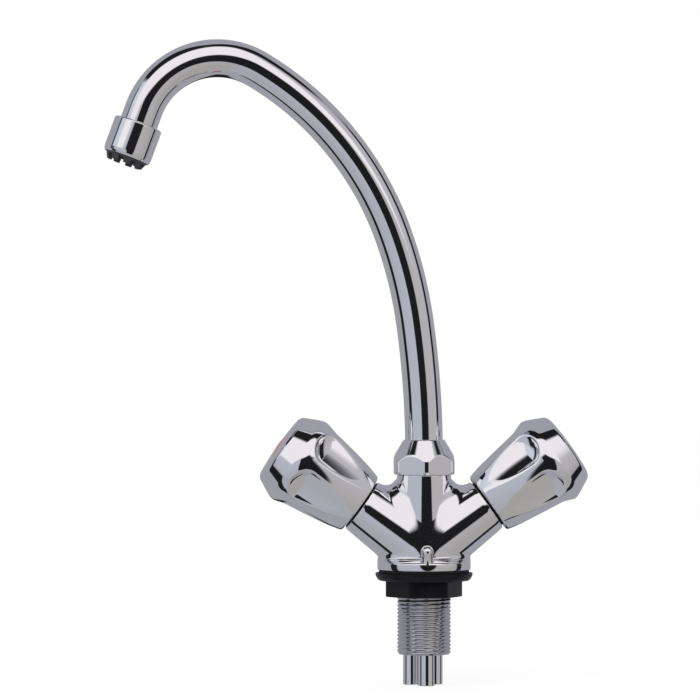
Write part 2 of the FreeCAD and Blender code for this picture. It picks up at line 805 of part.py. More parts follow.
def make_spout_foot():
    """Turned brass foot: seal grooves, collar under the nut, spigot in the tube."""
    body = new_body("spout_foot")
    turned(body, "foot", [
        ("foot_bore", "foot_bottom"), ("foot_radius", "foot_bottom"),
        ("foot_radius", "foot_collar_bottom"), ("foot_collar_radius", "foot_collar_bottom"),
        ("foot_collar_radius", "foot_collar_top"), ("foot_spigot", "foot_collar_top"),
        ("foot_spigot", "foot_spigot_top"), ("foot_bore", "foot_spigot_top"),
    ])
    for word in ("lower", "upper"):
        turned(body, f"{word}_groove", [
            ("foot_groove", f"{word}_seal_height - foot_groove_height / 2"),
            ("foot_radius + 1", f"{word}_seal_height - foot_groove_height / 2"),
            ("foot_radius + 1", f"{word}_seal_height + foot_groove_height / 2"),
            ("foot_groove", f"{word}_seal_height + foot_groove_height / 2"),
        ], cut=True)
    return body


def make_spout_seals():
    spots = []
    for word in ("lower", "upper"):
        spots.append(("foot_groove + seal_wire", "seal_wire", f"{word}_seal_height", 0, 0))
    return seal("spout_o_rings", spots)


def spout_route():
    """The tube's centreline as edges in the XZ plane, reaching towards -X, and its end frame."""
    level = value("foot_collar_top")
    at = Vector(0, 0, value("spout_straight"))
    heading = 90.0
    edges = [Part.LineSegment(Vector(0, 0, level), at).toShape()]
    for word in ("one", "two", "three", "four"):
        radius = value(f"spout_arc_{word}")
        turn = value(f"spout_turn_{word}")
        points = [at]
        for share in (0.5, 1.0):
            before = math.radians(heading)
            after = math.radians(heading + turn * share)
            step_x = radius * (math.sin(after) - math.sin(before))
            step_z = radius * (math.cos(before) - math.cos(after))
            points.append(at + Vector(step_x, 0, step_z))
        edges.append(Part.Arc(*points).toShape())
        at = points[-1]
        heading += turn
    lean = math.radians(heading)
    forward = Vector(math.cos(lean), 0, math.sin(lean))
    end = at + forward * value("spout_end_run")
    edges.append(Part.LineSegment(at, end).toShape())
    return Part.Wire(edges), end, forward


def spout_swing():
    """The spout stands a little towards the front of the left arm."""
    return Rotation(Vector(0, 0, 1), value("spout_swing"))


def make_spout_tube():
    """The bent tube, swept along straight runs and tangent arcs."""
    route, _, _ = spout_route()
    start = Vector(0, 0, value("foot_collar_top"))
    skins = []
    for radius in (value("spout_radius"), value("spout_radius") - value("spout_wall")):
        section = Part.Wire(Part.Circle(start, Vector(0, 0, 1), radius).toShape())
        skins.append(route.makePipeShell([section], True, False))
    tube = DOC.addObject("Part::Feature", "spout_tube")
    tube.Label = "spout_tube"
    tube.Shape = skins[0].cut(skins[1])
    tube.Placement = Placement(Vector(), spout_swing())
    return tube


def aerator_place():
    """The aerator's frame: its Z axis runs out of the spout, from the housing's upper edge."""
    _, end, forward = spout_route()
    swing = spout_swing()
    edge = end - forward * value("aerator_step")
    return Placement(swing.multVec(edge), swing.multiply(Rotation(Vector(0, 0, 1), forward)))


def make_aerator_housing():
    body = new_body("aerator_housing")
    turned(body, "sleeve", [
        ("aerator_eye", 0), ("aerator_radius - aerator_edge", 0), ("aerator_radius", "aerator_edge"),
        ("aerator_radius", "aerator_length - 2.4"), ("aerator_radius - 0.25", "aerator_length - 1.0"),
        ("aerator_mouth", "aerator_length"), ("aerator_bore", "aerator_length"),
        ("aerator_bore", "aerator_step"), ("aerator_eye", "aerator_step"),
    ])
    body.Placement = aerator_place()
    return body


def make_aerator_insert():
    """Plastic outlet: a sieve floor inside a ring whose lower rim is cut into teeth."""
    body = new_body("aerator_insert")
    turned(body, "cup", [
        (0, "aerator_screen"), ("insert_radius", "aerator_screen"),
        ("insert_radius", "aerator_length - 0.4"), ("insert_tip", "insert_length"),
        ("insert_bore", "insert_length"), ("insert_bore", "insert_floor"), (0, "insert_floor"),
    ])
    sketch = new_sketch(body, "notch_outline", "XZ_Plane")
    outline(sketch, [
        ("-notch_width / 2", "insert_length - notch_depth"),
        ("notch_width / 2", "insert_length - notch_depth"),
        ("notch_width / 2 + 0.2", "insert_length + 1"),
        ("-notch_width / 2 - 0.2", "insert_length + 1"),
    ])
    notch = body.newObject("PartDesign::Pocket", "notch")
    notch.Profile = sketch
    notch.Length = value("insert_radius") + 2
    polar(body, "notches", notch, NOTCHES)
    for name, circle_radius, count in (("outer", "insert_hole_circle", 2 * OUTLET_HOLES),
                                       ("inner", "insert_hole_circle / 2", OUTLET_HOLES)):
        holes = new_sketch(body, f"{name}_hole_outline", "XY_Plane", "aerator_screen - 1")
        circle(holes, "insert_hole", circle_radius, 0)
        hole = prism_cut(body, f"{name}_hole", holes)
        polar(body, f"{name}_holes", hole, count)
    body.Placement = aerator_place()
    return body


def make_aerator_rings():
    """The flat gasket under the tube's end, and the wire screen's frame with its mesh disc."""
    gasket = ring("aerator_gasket", "insert_bore", "insert_radius", "aerator_step", "aerator_seal")
    gasket.Placement = aerator_place()
    screen = new_body("aerator_screen")
    turned(screen, "mesh_disc", [
        (0, "aerator_seal + 0.3"), ("insert_bore", "aerator_seal + 0.3"),
        ("insert_bore", "aerator_seal"), ("insert_radius", "aerator_seal"),
        ("insert_radius", "aerator_screen"), ("insert_bore", "aerator_screen"),
        ("insert_bore", "aerator_screen - 0.3"), (0, "aerator_screen - 0.3"),
    ])
    screen.Placement = aerator_place()
    return [gasket, screen]


# ---------------------------------------------------------------- valves, one in each arm


def make_headwork(word):
    """Brass valve bonnet: skirt, hexagonal guide, wrench hexagon and spindle bearing."""
    body = new_body(f"{word}_headwork")
    turned(body, "bonnet", [
        ("headwork_skirt", "headwork_bottom"), ("headwork_radius", "headwork_bottom"),
        ("headwork_radius", "headwork_seat"), ("headwork_flange_radius", "headwork_seat"),
        ("headwork_flange_radius", "headwork_flange_top"),
        ("headwork_flange_radius - 0.5", "headwork_hex_top"),
        ("headwork_neck", "headwork_hex_top"), ("headwork_neck", "headwork_top"),
        ("spindle_bore", "headwork_top"), ("spindle_bore", "headwork_skirt_top"),
        ("headwork_skirt", "headwork_skirt_top"),
    ])
    flats(body, "wrench_hexagon", 6, "headwork_flats", "headwork_flange_top",
          "headwork_flange_radius + 2", 0, "headwork_hex_top - headwork_flange_top")
    sketch = new_sketch(body, "guide_outline", "XY_Plane", "headwork_skirt_top - 1")
    regular(sketch, 6, "hex_bore_flats")
    guide = prism_cut(body, "jumper_guide", sketch)
    guide.Type = 0
    bind(guide, "Length", "hex_bore_top - headwork_skirt_top + 1")
    return body


def make_spindle(word):
    """Turned spindle: driving thread, collar, seal and circlip grooves, splined end with a tapping."""
    body = new_body(f"{word}_spindle")
    turned(body, "shaft", [
        (0, "spindle_stem_end"), ("spindle_stem", "spindle_stem_end"),
        ("spindle_stem", "spindle_collar_bottom"), ("spindle_collar", "spindle_collar_bottom"),
        ("spindle_collar", "spindle_collar_top"), ("spindle_radius", "spindle_collar_top"),
        ("spindle_radius", "spindle_groove_bottom"), ("spindle_groove", "spindle_groove_bottom"),
        ("spindle_groove", "spindle_groove_bottom + spindle_groove_width"),
        ("spindle_radius", "spindle_groove_bottom + spindle_groove_width"),
        ("spindle_radius", "circlip_bottom"), ("circlip_groove", "circlip_bottom"),
        ("circlip_groove", "circlip_top"), ("spindle_radius", "circlip_top"),
        ("spindle_radius", "spindle_end"), ("spindle_tap", "spindle_end"),
        ("spindle_tap", "spindle_tap_bottom"), (0, "spindle_tap_bottom"),
    ])
    sketch = new_sketch(body, "spline_outline", "XY_Plane", "spline_start")
    tooth = value("spindle_radius") * math.pi / SPLINES * 0.5
    outline(sketch, [
        ("spindle_radius - spline_depth", 0), ("spindle_radius + 0.5", tooth),
        ("spindle_radius + 0.5", -tooth),
    ])
    groove = prism_cut(body, "spline", sketch)
    polar(body, "splines", groove, SPLINES)
    return body


def make_jumper(word):
    """Hexagonal washer carrier with a disc at its lower end and the driving thread's bore."""
    body = new_body(f"{word}_jumper")
    turned(body, "carrier", [
        ("jumper_tap", "jumper_bottom"), ("jumper_disc", "jumper_bottom"),
        ("jumper_disc", "jumper_disc_top"), ("jumper_disc", "jumper_top"),
        ("jumper_bore", "jumper_top"), ("jumper_bore", "jumper_bore_bottom"),
        ("jumper_tap", "jumper_bore_bottom"),
    ])
    flats(body, "guide_flats", 6, "jumper_flats", "jumper_disc_top", "jumper_disc + 2")
    return body


def make_washer_screw(word):
    """Screw through the seat washer into the jumper, its head inside the seat bore."""
    body = new_body(f"{word}_washer_screw")
    head_bottom = "seat_washer_bottom - washer_screw_head_height"
    turned(body, "screw", [
        (0, head_bottom), ("washer_screw_head", head_bottom),
        ("washer_screw_head", "seat_washer_bottom"), ("washer_screw_radius", "seat_washer_bottom"),
        ("washer_screw_radius", "jumper_bore_bottom - 0.3"), (0, "jumper_bore_bottom - 0.3"),
    ])
    return body


def make_adaptor(word):
    """Splined plastic insert between spindle and handle."""
    body = new_body(f"{word}_spline_adaptor")
    turned(body, "insert", [
        ("spindle_bore", "spline_start + 0.3"), ("handle_socket", "spline_start + 0.3"),
        ("handle_socket", "handle_socket_depth"), ("spindle_tap + 0.3", "handle_socket_depth"),
        ("spindle_tap + 0.3", "spindle_end + 0.1"), ("spindle_bore", "spindle_end + 0.1"),
    ])
    return body


def make_handle_screw(word):
    body = new_body(f"{word}_handle_screw")
    turned(body, "screw", [
        (0, "handle_web - handle_screw_length"),
        ("handle_screw_radius", "handle_web - handle_screw_length"),
        ("handle_screw_radius", "handle_web"), ("handle_screw_head", "handle_web"),
        ("handle_screw_head", "handle_web + handle_screw_head_height"),
        (0, "handle_web + handle_screw_head_height"),
    ])
    sketch = new_sketch(body, "slot_outline", "XZ_Plane")
    outline(sketch, [
        (-0.5, "handle_web + handle_screw_head_height / 2"),
        (0.5, "handle_web + handle_screw_head_height / 2"),
        (0.5, "handle_web + handle_screw_head_height + 1"),
        (-0.5, "handle_web + handle_screw_head_height + 1"),
    ])
    slot = body.newObject("PartDesign::Pocket", "driver_slot")
    slot.Profile = sketch
    slot.Midplane = True
    slot.Length = 2 * value("handle_screw_head") + 2
    return body


# A scoop's cutter at stations along the handle: (distance from the rim, half width, floor height
# above the floor's level, height of the floor's edges above its middle)
SCOOP_STATIONS = [
    (0.6, 3.0, 0.35, 0.15),
    (7.0, 5.6, 0.85, 0.3),
    (14.0, 7.6, 1.7, 0.6),
    (22.0, 9.1, 2.57, 0.9),
    (28.5, 9.9, 3.1, 1.2),
    (31.2, 9.2, 4.2, 0.9),
    (33.4, 7.2, 5.9, 0.5),
    (35.2, 4.0, 7.5, 0.2),
]


def scoop_sections(body):
    """One sketch per station: a hollow arc for the floor, closed above the handle's skin."""
    sections = []
    for number, (along, half, lift, rise) in enumerate(SCOOP_STATIONS, start=1):
        level = f"handle_rim + {along}"
        sketch = new_sketch(body, f"scoop_section_{number}", "XY_Plane", level)
        floor = value("scoop_floor") + lift
        edge = floor + rise
        top = value("handle_widest_radius") + 6
        corners = [Vector(edge, -half, 0), Vector(floor, 0, 0), Vector(edge, half, 0),
                   Vector(top, half, 0), Vector(top, -half, 0)]
        sketch.addGeometry(Part.Arc(corners[0], corners[1], corners[2]), False)
        for start, end in ((2, 3), (3, 4), (4, 0)):
            sketch.addGeometry(Part.LineSegment(corners[start], corners[end]), False)
        sections.append(sketch)
    return sections


def make_handle(word):
    """Chromed shell: barrel with six scoops, chamfered crown, hollow for the headwork."""
    body = new_body(f"{word}_handle")
    arc_profile(body, "barrel", [
        (0, "handle_rim"), ("handle_rim_radius", "handle_rim"),
        ("handle_start_radius", "handle_rim + handle_edge"),
        ("handle_band_radius", "handle_band"), ("handle_widest_radius", "handle_widest"),
        ("handle_crown_radius", "handle_crown"), ("index_radius + 0.1", "handle_top"),
        (0, "handle_top"),
    ], {2: ("handle_middle_radius", "handle_middle"), 5: ("handle_dome_radius", "handle_dome")})
    scoop = body.newObject("PartDesign::SubtractiveLoft", "scoop")
    sections = scoop_sections(body)
    scoop.Profile = sections[0]
    scoop.Sections = sections[1:]
    polar(body, "scoops", scoop, SCOOPS)
    turned(body, "hollow", [
        (0, "handle_rim - 1"), ("handle_mouth", "handle_rim - 1"),
        ("handle_mouth", "handle_mouth_depth"), ("handle_cavity", "handle_mouth_depth"),
        ("handle_cavity", "handle_cavity_depth"), ("handle_socket", "handle_cavity_depth"),
        ("handle_socket", "handle_socket_depth"), ("handle_screw_hole", "handle_socket_depth"),
        ("handle_screw_hole", "handle_web"), ("handle_well", "handle_web"),
        ("handle_well", "index_seat"), ("index_radius + 0.1", "index_seat"),
        ("index_radius + 0.1", "handle_top + 1"), (0, "handle_top + 1"),
    ], cut=True)
    return body


def make_index(word):
    """Domed coloured disc in the crown, its dome a cap of a large ball."""
    body = new_body(f"{word}_index_disc")
    ball = (value("index_radius") ** 2 + value("index_dome") ** 2) / 2 / value("index_dome")
    half = value("index_radius") / 2
    apex = value("handle_top") - value("index_edge") + value("index_dome")
    arc_profile(body, "disc", [
        (0, "index_seat"), ("index_radius", "index_seat"),
        ("index_radius", "handle_top - index_edge"), (0, "handle_top - index_edge + index_dome"),
    ], {2: (half, apex - ball + math.sqrt(ball ** 2 - half ** 2))})
    return body


def make_valve(word):
    """Every piece of one valve and its handle, in the frame of its arm."""
    pieces = [
        make_headwork(word),
        ring(f"{word}_headwork_gasket", "socket_radius + 0.1", "headwork_flange_radius",
             "arm_end", "headwork_seat"),
        make_spindle(word),
        ring(f"{word}_spindle_circlip", "circlip_groove", "circlip_radius",
             "circlip_bottom", "circlip_top"),
        make_jumper(word),
        ring(f"{word}_seat_washer", "washer_screw_radius", "seat_washer_radius",
             "seat_washer_bottom", "jumper_bottom"),
        make_washer_screw(word),
        make_adaptor(word),
        make_handle_screw(word),
        make_handle(word),
        make_index(word),
    ]
    place = arm_place(SIDES[word])
    turn = Placement(Vector(), Rotation(Vector(0, 0, 1), HANDLE_TURNS[word]))
    turning = ("handle", "handle_screw", "index_disc", "spline_adaptor", "spindle")
    for piece in pieces:
        kind = piece.Label.removeprefix(f"{word}_")
        piece.Placement = place.multiply(turn) if kind in turning else place
    o_ring = seal(f"{word}_spindle_o_ring", [
        ("spindle_groove + 0.5", 0.5, 0, 0, 0),
    ])
    height = value("spindle_groove_bottom") + value("spindle_groove_width") / 2
    o_ring.Placement = place.multiply(Placement(Vector(0, 0, height), Rotation()))
    pieces.append(o_ring)
    return pieces


# ---------------------------------------------------------------- build and write


def make_all():
    pieces = [make_body(), make_shank(), make_flange_washer(), make_back_nut()]
    pieces.append(ring("base_gasket", "washer_bore", "gasket_radius", "-gasket_thickness", 0))
    pieces += [make_tail(name) for name in TAIL_ANGLES]
    pieces += [make_tail_seals(), make_chain_stay(), make_spout_nut(), make_spout_foot()]
    slip_ring = ring("spout_slip_ring", "spout_nut_eye", "spout_nut_bore - 0.05",
                     "foot_collar_top + slip_ring_gap", "spout_nut_seat")
    pieces += [slip_ring, make_spout_seals(), make_spout_tube()]
    for piece in pieces:
        if piece.Label in ("spout_foot", "spout_o_rings"):
            piece.Placement = Placement(Vector(), spout_swing())
    pieces += [make_aerator_housing(), make_aerator_insert()]
    pieces += make_aerator_rings()
    for word in SIDES:
        pieces += make_valve(word)
    return pieces


def check(pieces):
    """Stop if any object failed, or any piece is null or not valid."""
    for item in DOC.Objects:
        if "Invalid" in item.State or "Error" in item.State:
            raise RuntimeError(f"{item.Label} failed: {item.State}")
    for piece in pieces:
        if piece.Shape.isNull() or not piece.Shape.isValid():
            raise RuntimeError(f"{piece.Label} has no valid shape")


def write(pieces):
    os.makedirs("parts", exist_ok=True)
    for piece in pieces:
        piece.Shape.exportStep(f"parts/{piece.Label}.step")
        print(f"{piece.Label}: {len(piece.Shape.Solids)} solids, {piece.Shape.Volume:.1f} mm3")


fill_sheet()
PIECES = make_all()
DOC.recompute()
check(PIECES)
write(PIECES)
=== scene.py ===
import json
import math

import bpy
import numpy as np
from mathutils import Matrix, Vector


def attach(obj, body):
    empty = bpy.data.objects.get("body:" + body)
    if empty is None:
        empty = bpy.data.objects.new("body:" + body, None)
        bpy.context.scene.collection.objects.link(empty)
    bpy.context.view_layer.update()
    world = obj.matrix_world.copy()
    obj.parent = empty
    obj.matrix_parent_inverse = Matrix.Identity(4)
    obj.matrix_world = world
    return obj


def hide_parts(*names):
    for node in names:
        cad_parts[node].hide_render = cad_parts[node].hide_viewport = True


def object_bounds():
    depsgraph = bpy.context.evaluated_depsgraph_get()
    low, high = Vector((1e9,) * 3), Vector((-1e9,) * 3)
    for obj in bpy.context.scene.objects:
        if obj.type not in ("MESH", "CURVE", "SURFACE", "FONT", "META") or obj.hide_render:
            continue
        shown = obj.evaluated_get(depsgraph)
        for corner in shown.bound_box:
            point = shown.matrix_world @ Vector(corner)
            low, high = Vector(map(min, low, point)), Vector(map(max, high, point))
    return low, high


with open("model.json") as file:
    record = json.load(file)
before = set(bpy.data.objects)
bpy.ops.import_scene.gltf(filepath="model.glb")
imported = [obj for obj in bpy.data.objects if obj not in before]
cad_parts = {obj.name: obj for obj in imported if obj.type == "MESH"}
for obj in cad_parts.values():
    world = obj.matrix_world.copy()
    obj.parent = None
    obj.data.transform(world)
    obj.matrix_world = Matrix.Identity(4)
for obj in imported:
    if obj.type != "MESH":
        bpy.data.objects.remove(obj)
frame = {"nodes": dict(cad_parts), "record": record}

CAD_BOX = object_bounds()

# ---------------------------------------------------------------- sizes, in millimetres

# arms: the radius shrinks by a share of the length, faster near the end, then steps into the handle
ARM_LEAN = math.radians(35.5)
ARM_HEIGHT = 9.6
ARM_RADIUS, ARM_TAPER, ARM_START, ARM_END = 16.6, 0.088, -6.0, 40.2
ARM_TIP, ARM_TIP_TAPER = 35.0, 0.09
# the last of these marks where the arm's end starts to be coloured near black, as painted shade for
# the gap inside the handle
RECESS_START, RECESS_FLOOR, RECESS_DEPTH, PAINTED_SHADE_EDGE = 37.0, 37.5, 1.1, 37.2
SOCKET_RADIUS, SOCKET_FLOOR = 10.0, 22.0

# shoulder ball, neck and base
BALL_RADIUS = 16.66
NECK_RADIUS, NECK_SHOULDER, NECK_TAPER, NECK_FOOT, NECK_FILLET = 13.0, 45.9, 0.1033, 11.3, 6.6
NECK_THREAD_RADIUS, NECK_THREAD_TOP = 12.0, 49.8
NECK_BORE, NECK_BORE_FLOOR, CHAMBER_RADIUS, CHAMBER_FLOOR = 9.5, 32.0, 7.0, 24.0
BASE_RADIUS, BASE_RIM, BASE_EDGE, BASE_BELLY = 22.5, 4.2, 0.7, 2.8
LEDGE_OUT, LEDGE_UP = 0.26, 0.966
FOOT_REACH, FOOT_DEPTH = 22.4, 16.2
COUNTERBORE_TOP = 8.0
STAY = (0.0, -19.4)
STAY_RADIUS, STAY_BALL, STAY_BALL_HEIGHT = 2.8, 3.1, 9.3
STAY_BOTTOM, STAY_FACE, STAY_FACE_TOP = 3.0, 4.2, 12.0

# mounting and tails
SHANK_RADIUS, SHANK_BORE, SHANK_END, THREAD_END = 13.22, 11.1, -40.8, -12.0
THREAD_DEPTH, THREAD_PITCH, THREAD_WAVE, THREAD_SINK = 1.162, 1.814, 0.62, 0.2
WASHER_RADIUS, WASHER_WAIST, WASHER_BORE, GASKET_RADIUS = 23.5, 21.7, 13.6, 21.8
GASKET_BOTTOM, WASHER_BOTTOM, NUT_BOTTOM = -1.5, -5.2, -13.2
BACK_NUT_FLATS, BACK_NUT_CORNER, BACK_NUT_TURN = 32.5, 18.75, -27.2
TAIL_CIRCLE, TAIL_RADIUS, TAIL_BORE, TAIL_END = 6.5, 4.0, 3.0, -55.6
TAIL_COLLAR, TAIL_COLLAR_BOTTOM, TAIL_COLLAR_TOP = 4.4, 4.0, 13.0
TAIL_ANGLES = {"mains_inlet_tail": -84.6, "heater_return_tail": 35.4, "heater_feed_tail": 155.4}

# spout: the tube's arcs are (radius, turn in degrees), each tangent to the last
SPOUT_NUT_FLATS, SPOUT_NUT_CORNER = 28.6, 15.8
SPOUT_NUT_SHOULDER, SPOUT_NUT_TOP, SPOUT_NUT_TIP = 52.6, 62.7, 9.9
SPOUT_NUT_CHAMFER, SPOUT_NUT_BORE, SPOUT_NUT_SEAT, SPOUT_NUT_EYE = 1.1, 12.1, 54.3, 9.4
TUBE_RADIUS, TUBE_WALL, TUBE_START = 9.1, 1.0, 52.5
TUBE_RISE, TUBE_TAIL = 3.5, 13.2
TUBE_ARCS = ((452.0, 8.0), (208.0, 12.5), (151.3, 39.3), (38.1, 99.9))
ARC_STEP = math.radians(0.9)
SPOUT_SWING = math.radians(6.0)
AERATOR_RADIUS, AERATOR_LENGTH, AERATOR_STEP = 11.7, 17.2, 6.0
AERATOR_EYE, AERATOR_BORE, AERATOR_MOUTH = 9.15, 10.4, 10.9

# handles, measured upwards from the rim
HANDLE_RIM = 38.2
HANDLE_TURNS = {"cold": -4.1, "hot": 5.4}
HANDLE_FOOT, HANDLE_FOOT_HEIGHT, HANDLE_SLOPE, HANDLE_BULGE = 15.7, 1, 0.2159, 0.75
HANDLE_BAND, HANDLE_BAND_HEIGHT, HANDLE_BAND_SLOPE = 22.5, 32.5, 0.034
HANDLE_CROWN, HANDLE_CROWN_HEIGHT, CROWN_OUT, CROWN_UP = 21.74, 38.8, 0.897, 0.442
HANDLE_DOME, HANDLE_DOME_RADIUS = 48.5, 140.0
HANDLE_HOLLOWS = (  # radius, low, high, rounding
    (13.9, -9, 5.4, 0.3), (12.5, 5, 19.8, 0.1), (7.1, 19, 28.7, 0.1),
    (2.2, 28, 31, 0.1), (4.5, 30.8, 47, 0.1), (6.6, 46.2, 60, 0.25))
SCOOP_ANGLE = math.pi / 3
SCOOP_LENGTH, SCOOP_DISH, SCOOP_WIDTH, SCOOP_EDGE = 28.0, 180.0, 10.2, 15.3
SIDES = {"cold": 1, "hot": -1}

STEP = 0.36

# ---------------------------------------------------------------- fields: negative inside a solid

# each grows by about 1 per mm outwards; factors such as 0.98 hold slanting walls to that


def fillet_min(a, b, r):
    """Union of two fields, with a fillet of radius r in the corner between them."""
    return np.maximum(r, np.minimum(a, b)) - np.hypot(np.maximum(r - a, 0), np.maximum(r - b, 0))


def round_max(a, b, r):
    """Intersection of two fields, with the edge between them rounded to radius r."""
    return -fillet_min(-a, -b, r)


def fade(value, low, high):
    """0 below low, 1 above high, smooth between."""
    t = np.clip((value - low) / (high - low), 0, 1)
    return t * t * (3 - 2 * t)


def prism(x, y, sides, across_flats, turn):
    """A regular prism about Z."""
    far = np.full(np.shape(x), -1e3)
    for i in range(sides):
        angle = turn + 2 * math.pi * i / sides
        far = np.maximum(far, x * math.cos(angle) + y * math.sin(angle) - across_flats / 2)
    return far


def body_upper(x, y, z):
    """Arms, shoulder ball and conical neck. The arms mirror each other, so one stands for both."""
    side = np.hypot(x, 0.7)
    along = side * math.cos(ARM_LEAN) + (z - ARM_HEIGHT) * math.sin(ARM_LEAN)
    across = (z - ARM_HEIGHT) * math.cos(ARM_LEAN) - side * math.sin(ARM_LEAN)
    girth = np.hypot(across, y) + 1e-6
    tip = (ARM_TIP_TAPER * (np.hypot(np.maximum(along - ARM_TIP, 0), 0.8) - 0.8)
           + RECESS_DEPTH * fade(along, RECESS_START, RECESS_FLOOR))
    arm = (girth - ARM_RADIUS + ARM_TAPER * (np.hypot(along, 1.5) - 1.5) + tip) * 0.996
    arm = np.maximum(round_max(arm, along - ARM_END, 0.5), ARM_START - along)
    reach = np.hypot(x, y) + 1e-6
    ball = np.sqrt(reach ** 2 + (z - ARM_HEIGHT) ** 2) - BALL_RADIUS
    cone = (reach - NECK_RADIUS - NECK_TAPER * (NECK_SHOULDER - z)) * 0.9947
    cone = np.maximum(round_max(cone, z - NECK_SHOULDER, 0.5), NECK_FOOT - z)
    thread = np.maximum(reach - NECK_THREAD_RADIUS, z - NECK_THREAD_TOP)
    core = np.minimum(np.minimum(ball, cone), thread)
    # facing is the cosine between the two walls' normals, and its last two terms come from their
    # tapers. The corner to fill is wide open at the front, where the fillet shrinks, and tight
    # between arm and neck; 0.293 is 1 - opening where the walls meet at a right angle
    facing = (0.995 * (y * y - side * math.sin(ARM_LEAN) * across) / (girth * reach)
              + 0.071 * side / reach + 0.084 * across / girth)
    opening = np.sqrt(np.clip((1 + facing) / 2, 0, 1))
    fillet = np.clip(NECK_FILLET * ((1 - opening) / 0.293) ** 0.6, 0.05, 2 * NECK_FILLET)
    fillet = fillet * (1 - 0.95 * fade(z, NECK_SHOULDER - 3, NECK_SHOULDER - 0.5)) + 1e-3
    return fillet_min(arm, core, fillet)


def body_base(x, y, z):
    """Base disc with its sloping ledge, and the oval column under the arms."""
    reach = np.hypot(x, y)
    rim = reach - BASE_RADIUS + np.clip(z - BASE_BELLY, -3, 1) ** 2 / 24
    ledge = LEDGE_OUT * (reach - BASE_RADIUS + BASE_EDGE) + LEDGE_UP * (z - BASE_RIM)
    near = np.hypot(x / FOOT_REACH, y / FOOT_DEPTH) + 1e-6
    column = near * (near - 1) / (np.hypot(x / FOOT_REACH ** 2, y / FOOT_DEPTH ** 2) + 1e-6)
    over_arms = (z - ARM_HEIGHT - np.abs(x) * math.tan(ARM_LEAN)) * math.cos(ARM_LEAN)
    foot = np.maximum(column, over_arms)
    disc = round_max(rim, ledge, 0.9)
    return np.maximum(fillet_min(disc, foot, 1.6), reach - BASE_RADIUS)


def body_field(x, y, z):
    """The cast body, with its bores and sockets and the stay's socket in a small spot face."""
    solid = fillet_min(body_upper(x, y, z), body_base(x, y, z), 0.4)
    solid = round_max(solid, -z, 0.3)
    reach = np.hypot(x, y)
    neck_bore = np.maximum(reach - NECK_BORE, NECK_BORE_FLOOR - z)
    chamber = np.maximum(reach - CHAMBER_RADIUS, CHAMBER_FLOOR - z)
    counterbore = np.maximum(reach - SHANK_RADIUS - 0.05, z - COUNTERBORE_TOP)
    stay = np.hypot(x - STAY[0], y - STAY[1])
    face = np.maximum(np.maximum(stay - STAY_BALL - 0.12, STAY_FACE - z), z - STAY_FACE_TOP)
    socket = np.maximum(stay - STAY_RADIUS, STAY_BOTTOM - z)
    along = np.abs(x) * math.cos(ARM_LEAN) + (z - ARM_HEIGHT) * math.sin(ARM_LEAN)
    across = (z - ARM_HEIGHT) * math.cos(ARM_LEAN) - np.abs(x) * math.sin(ARM_LEAN)
    arm_socket = np.maximum(np.hypot(across, y) - SOCKET_RADIUS, SOCKET_FLOOR - along)
    for hollow in (neck_bore, chamber, counterbore, face, socket, arm_socket):
        solid = np.maximum(solid, -hollow)
    return solid


def scoop_field(x, y, t):
    """The six finger scoops: a shallow dish that ends in a D-shaped lip towards the crown."""
    reach = np.hypot(x, y)
    angle = np.mod(np.arctan2(y, x) + SCOOP_ANGLE / 2, SCOOP_ANGLE) - SCOOP_ANGLE / 2
    out, aside = reach * np.cos(angle), reach * np.sin(angle)
    run = np.clip(t, 0, SCOOP_LENGTH)
    # half the scoop's width, and how far out its two long edges lie
    half = 2.2 + 0.47 * run - 0.0075 * run ** 2
    edge = SCOOP_EDGE + 0.2 * t - 0.0015 * t ** 2 + 0.5 * np.exp(-np.maximum(t, -1) / 1.2)
    sink = 0.6 * run / SCOOP_LENGTH
    dish = half ** 2 / SCOOP_DISH + sink
    lift = aside ** 2 / SCOOP_DISH + sink * np.clip(np.abs(aside) / half, 0, 1.4) ** 6
    floor = edge - dish + lift
    depth = np.maximum(7 + 1.1 * (out - 22.4), 1)
    past = np.maximum(t - SCOOP_LENGTH, 0)
    lip = (np.hypot(past / depth, aside / SCOOP_WIDTH) - 1) * np.minimum(depth, 7) * 0.7
    return round_max(floor - out, lip, 2.5)


def handle_field(x, y, t):
    """A handle about its own axis, t upwards from its rim."""
    reach = np.hypot(x, y)
    half = (HANDLE_BAND_HEIGHT - HANDLE_FOOT_HEIGHT) / 2
    bulge = HANDLE_BULGE * (1 - ((t - HANDLE_FOOT_HEIGHT - half) / half) ** 2)
    barrel = HANDLE_FOOT + HANDLE_SLOPE * (t - HANDLE_FOOT_HEIGHT) + bulge
    band = HANDLE_BAND + HANDLE_BAND_SLOPE * (t - HANDLE_BAND_HEIGHT)
    skin = (reach - np.where(t < HANDLE_BAND_HEIGHT, barrel, band)) * 0.98
    crown = CROWN_OUT * (reach - HANDLE_CROWN) + CROWN_UP * (t - HANDLE_CROWN_HEIGHT)
    dome = t + reach ** 2 / (2 * HANDLE_DOME_RADIUS) - HANDLE_DOME
    outer = round_max(round_max(skin, crown, 1.0), dome, 1.6)
    outer = round_max(outer, -t, 0.8)
    solid = round_max(outer, -scoop_field(x, y, t), 0.6)
    for radius, low, high, edge in HANDLE_HOLLOWS:
        hollow = np.maximum(np.maximum(reach - radius, low - t), t - high)
        solid = round_max(solid, -hollow, edge)
    return solid


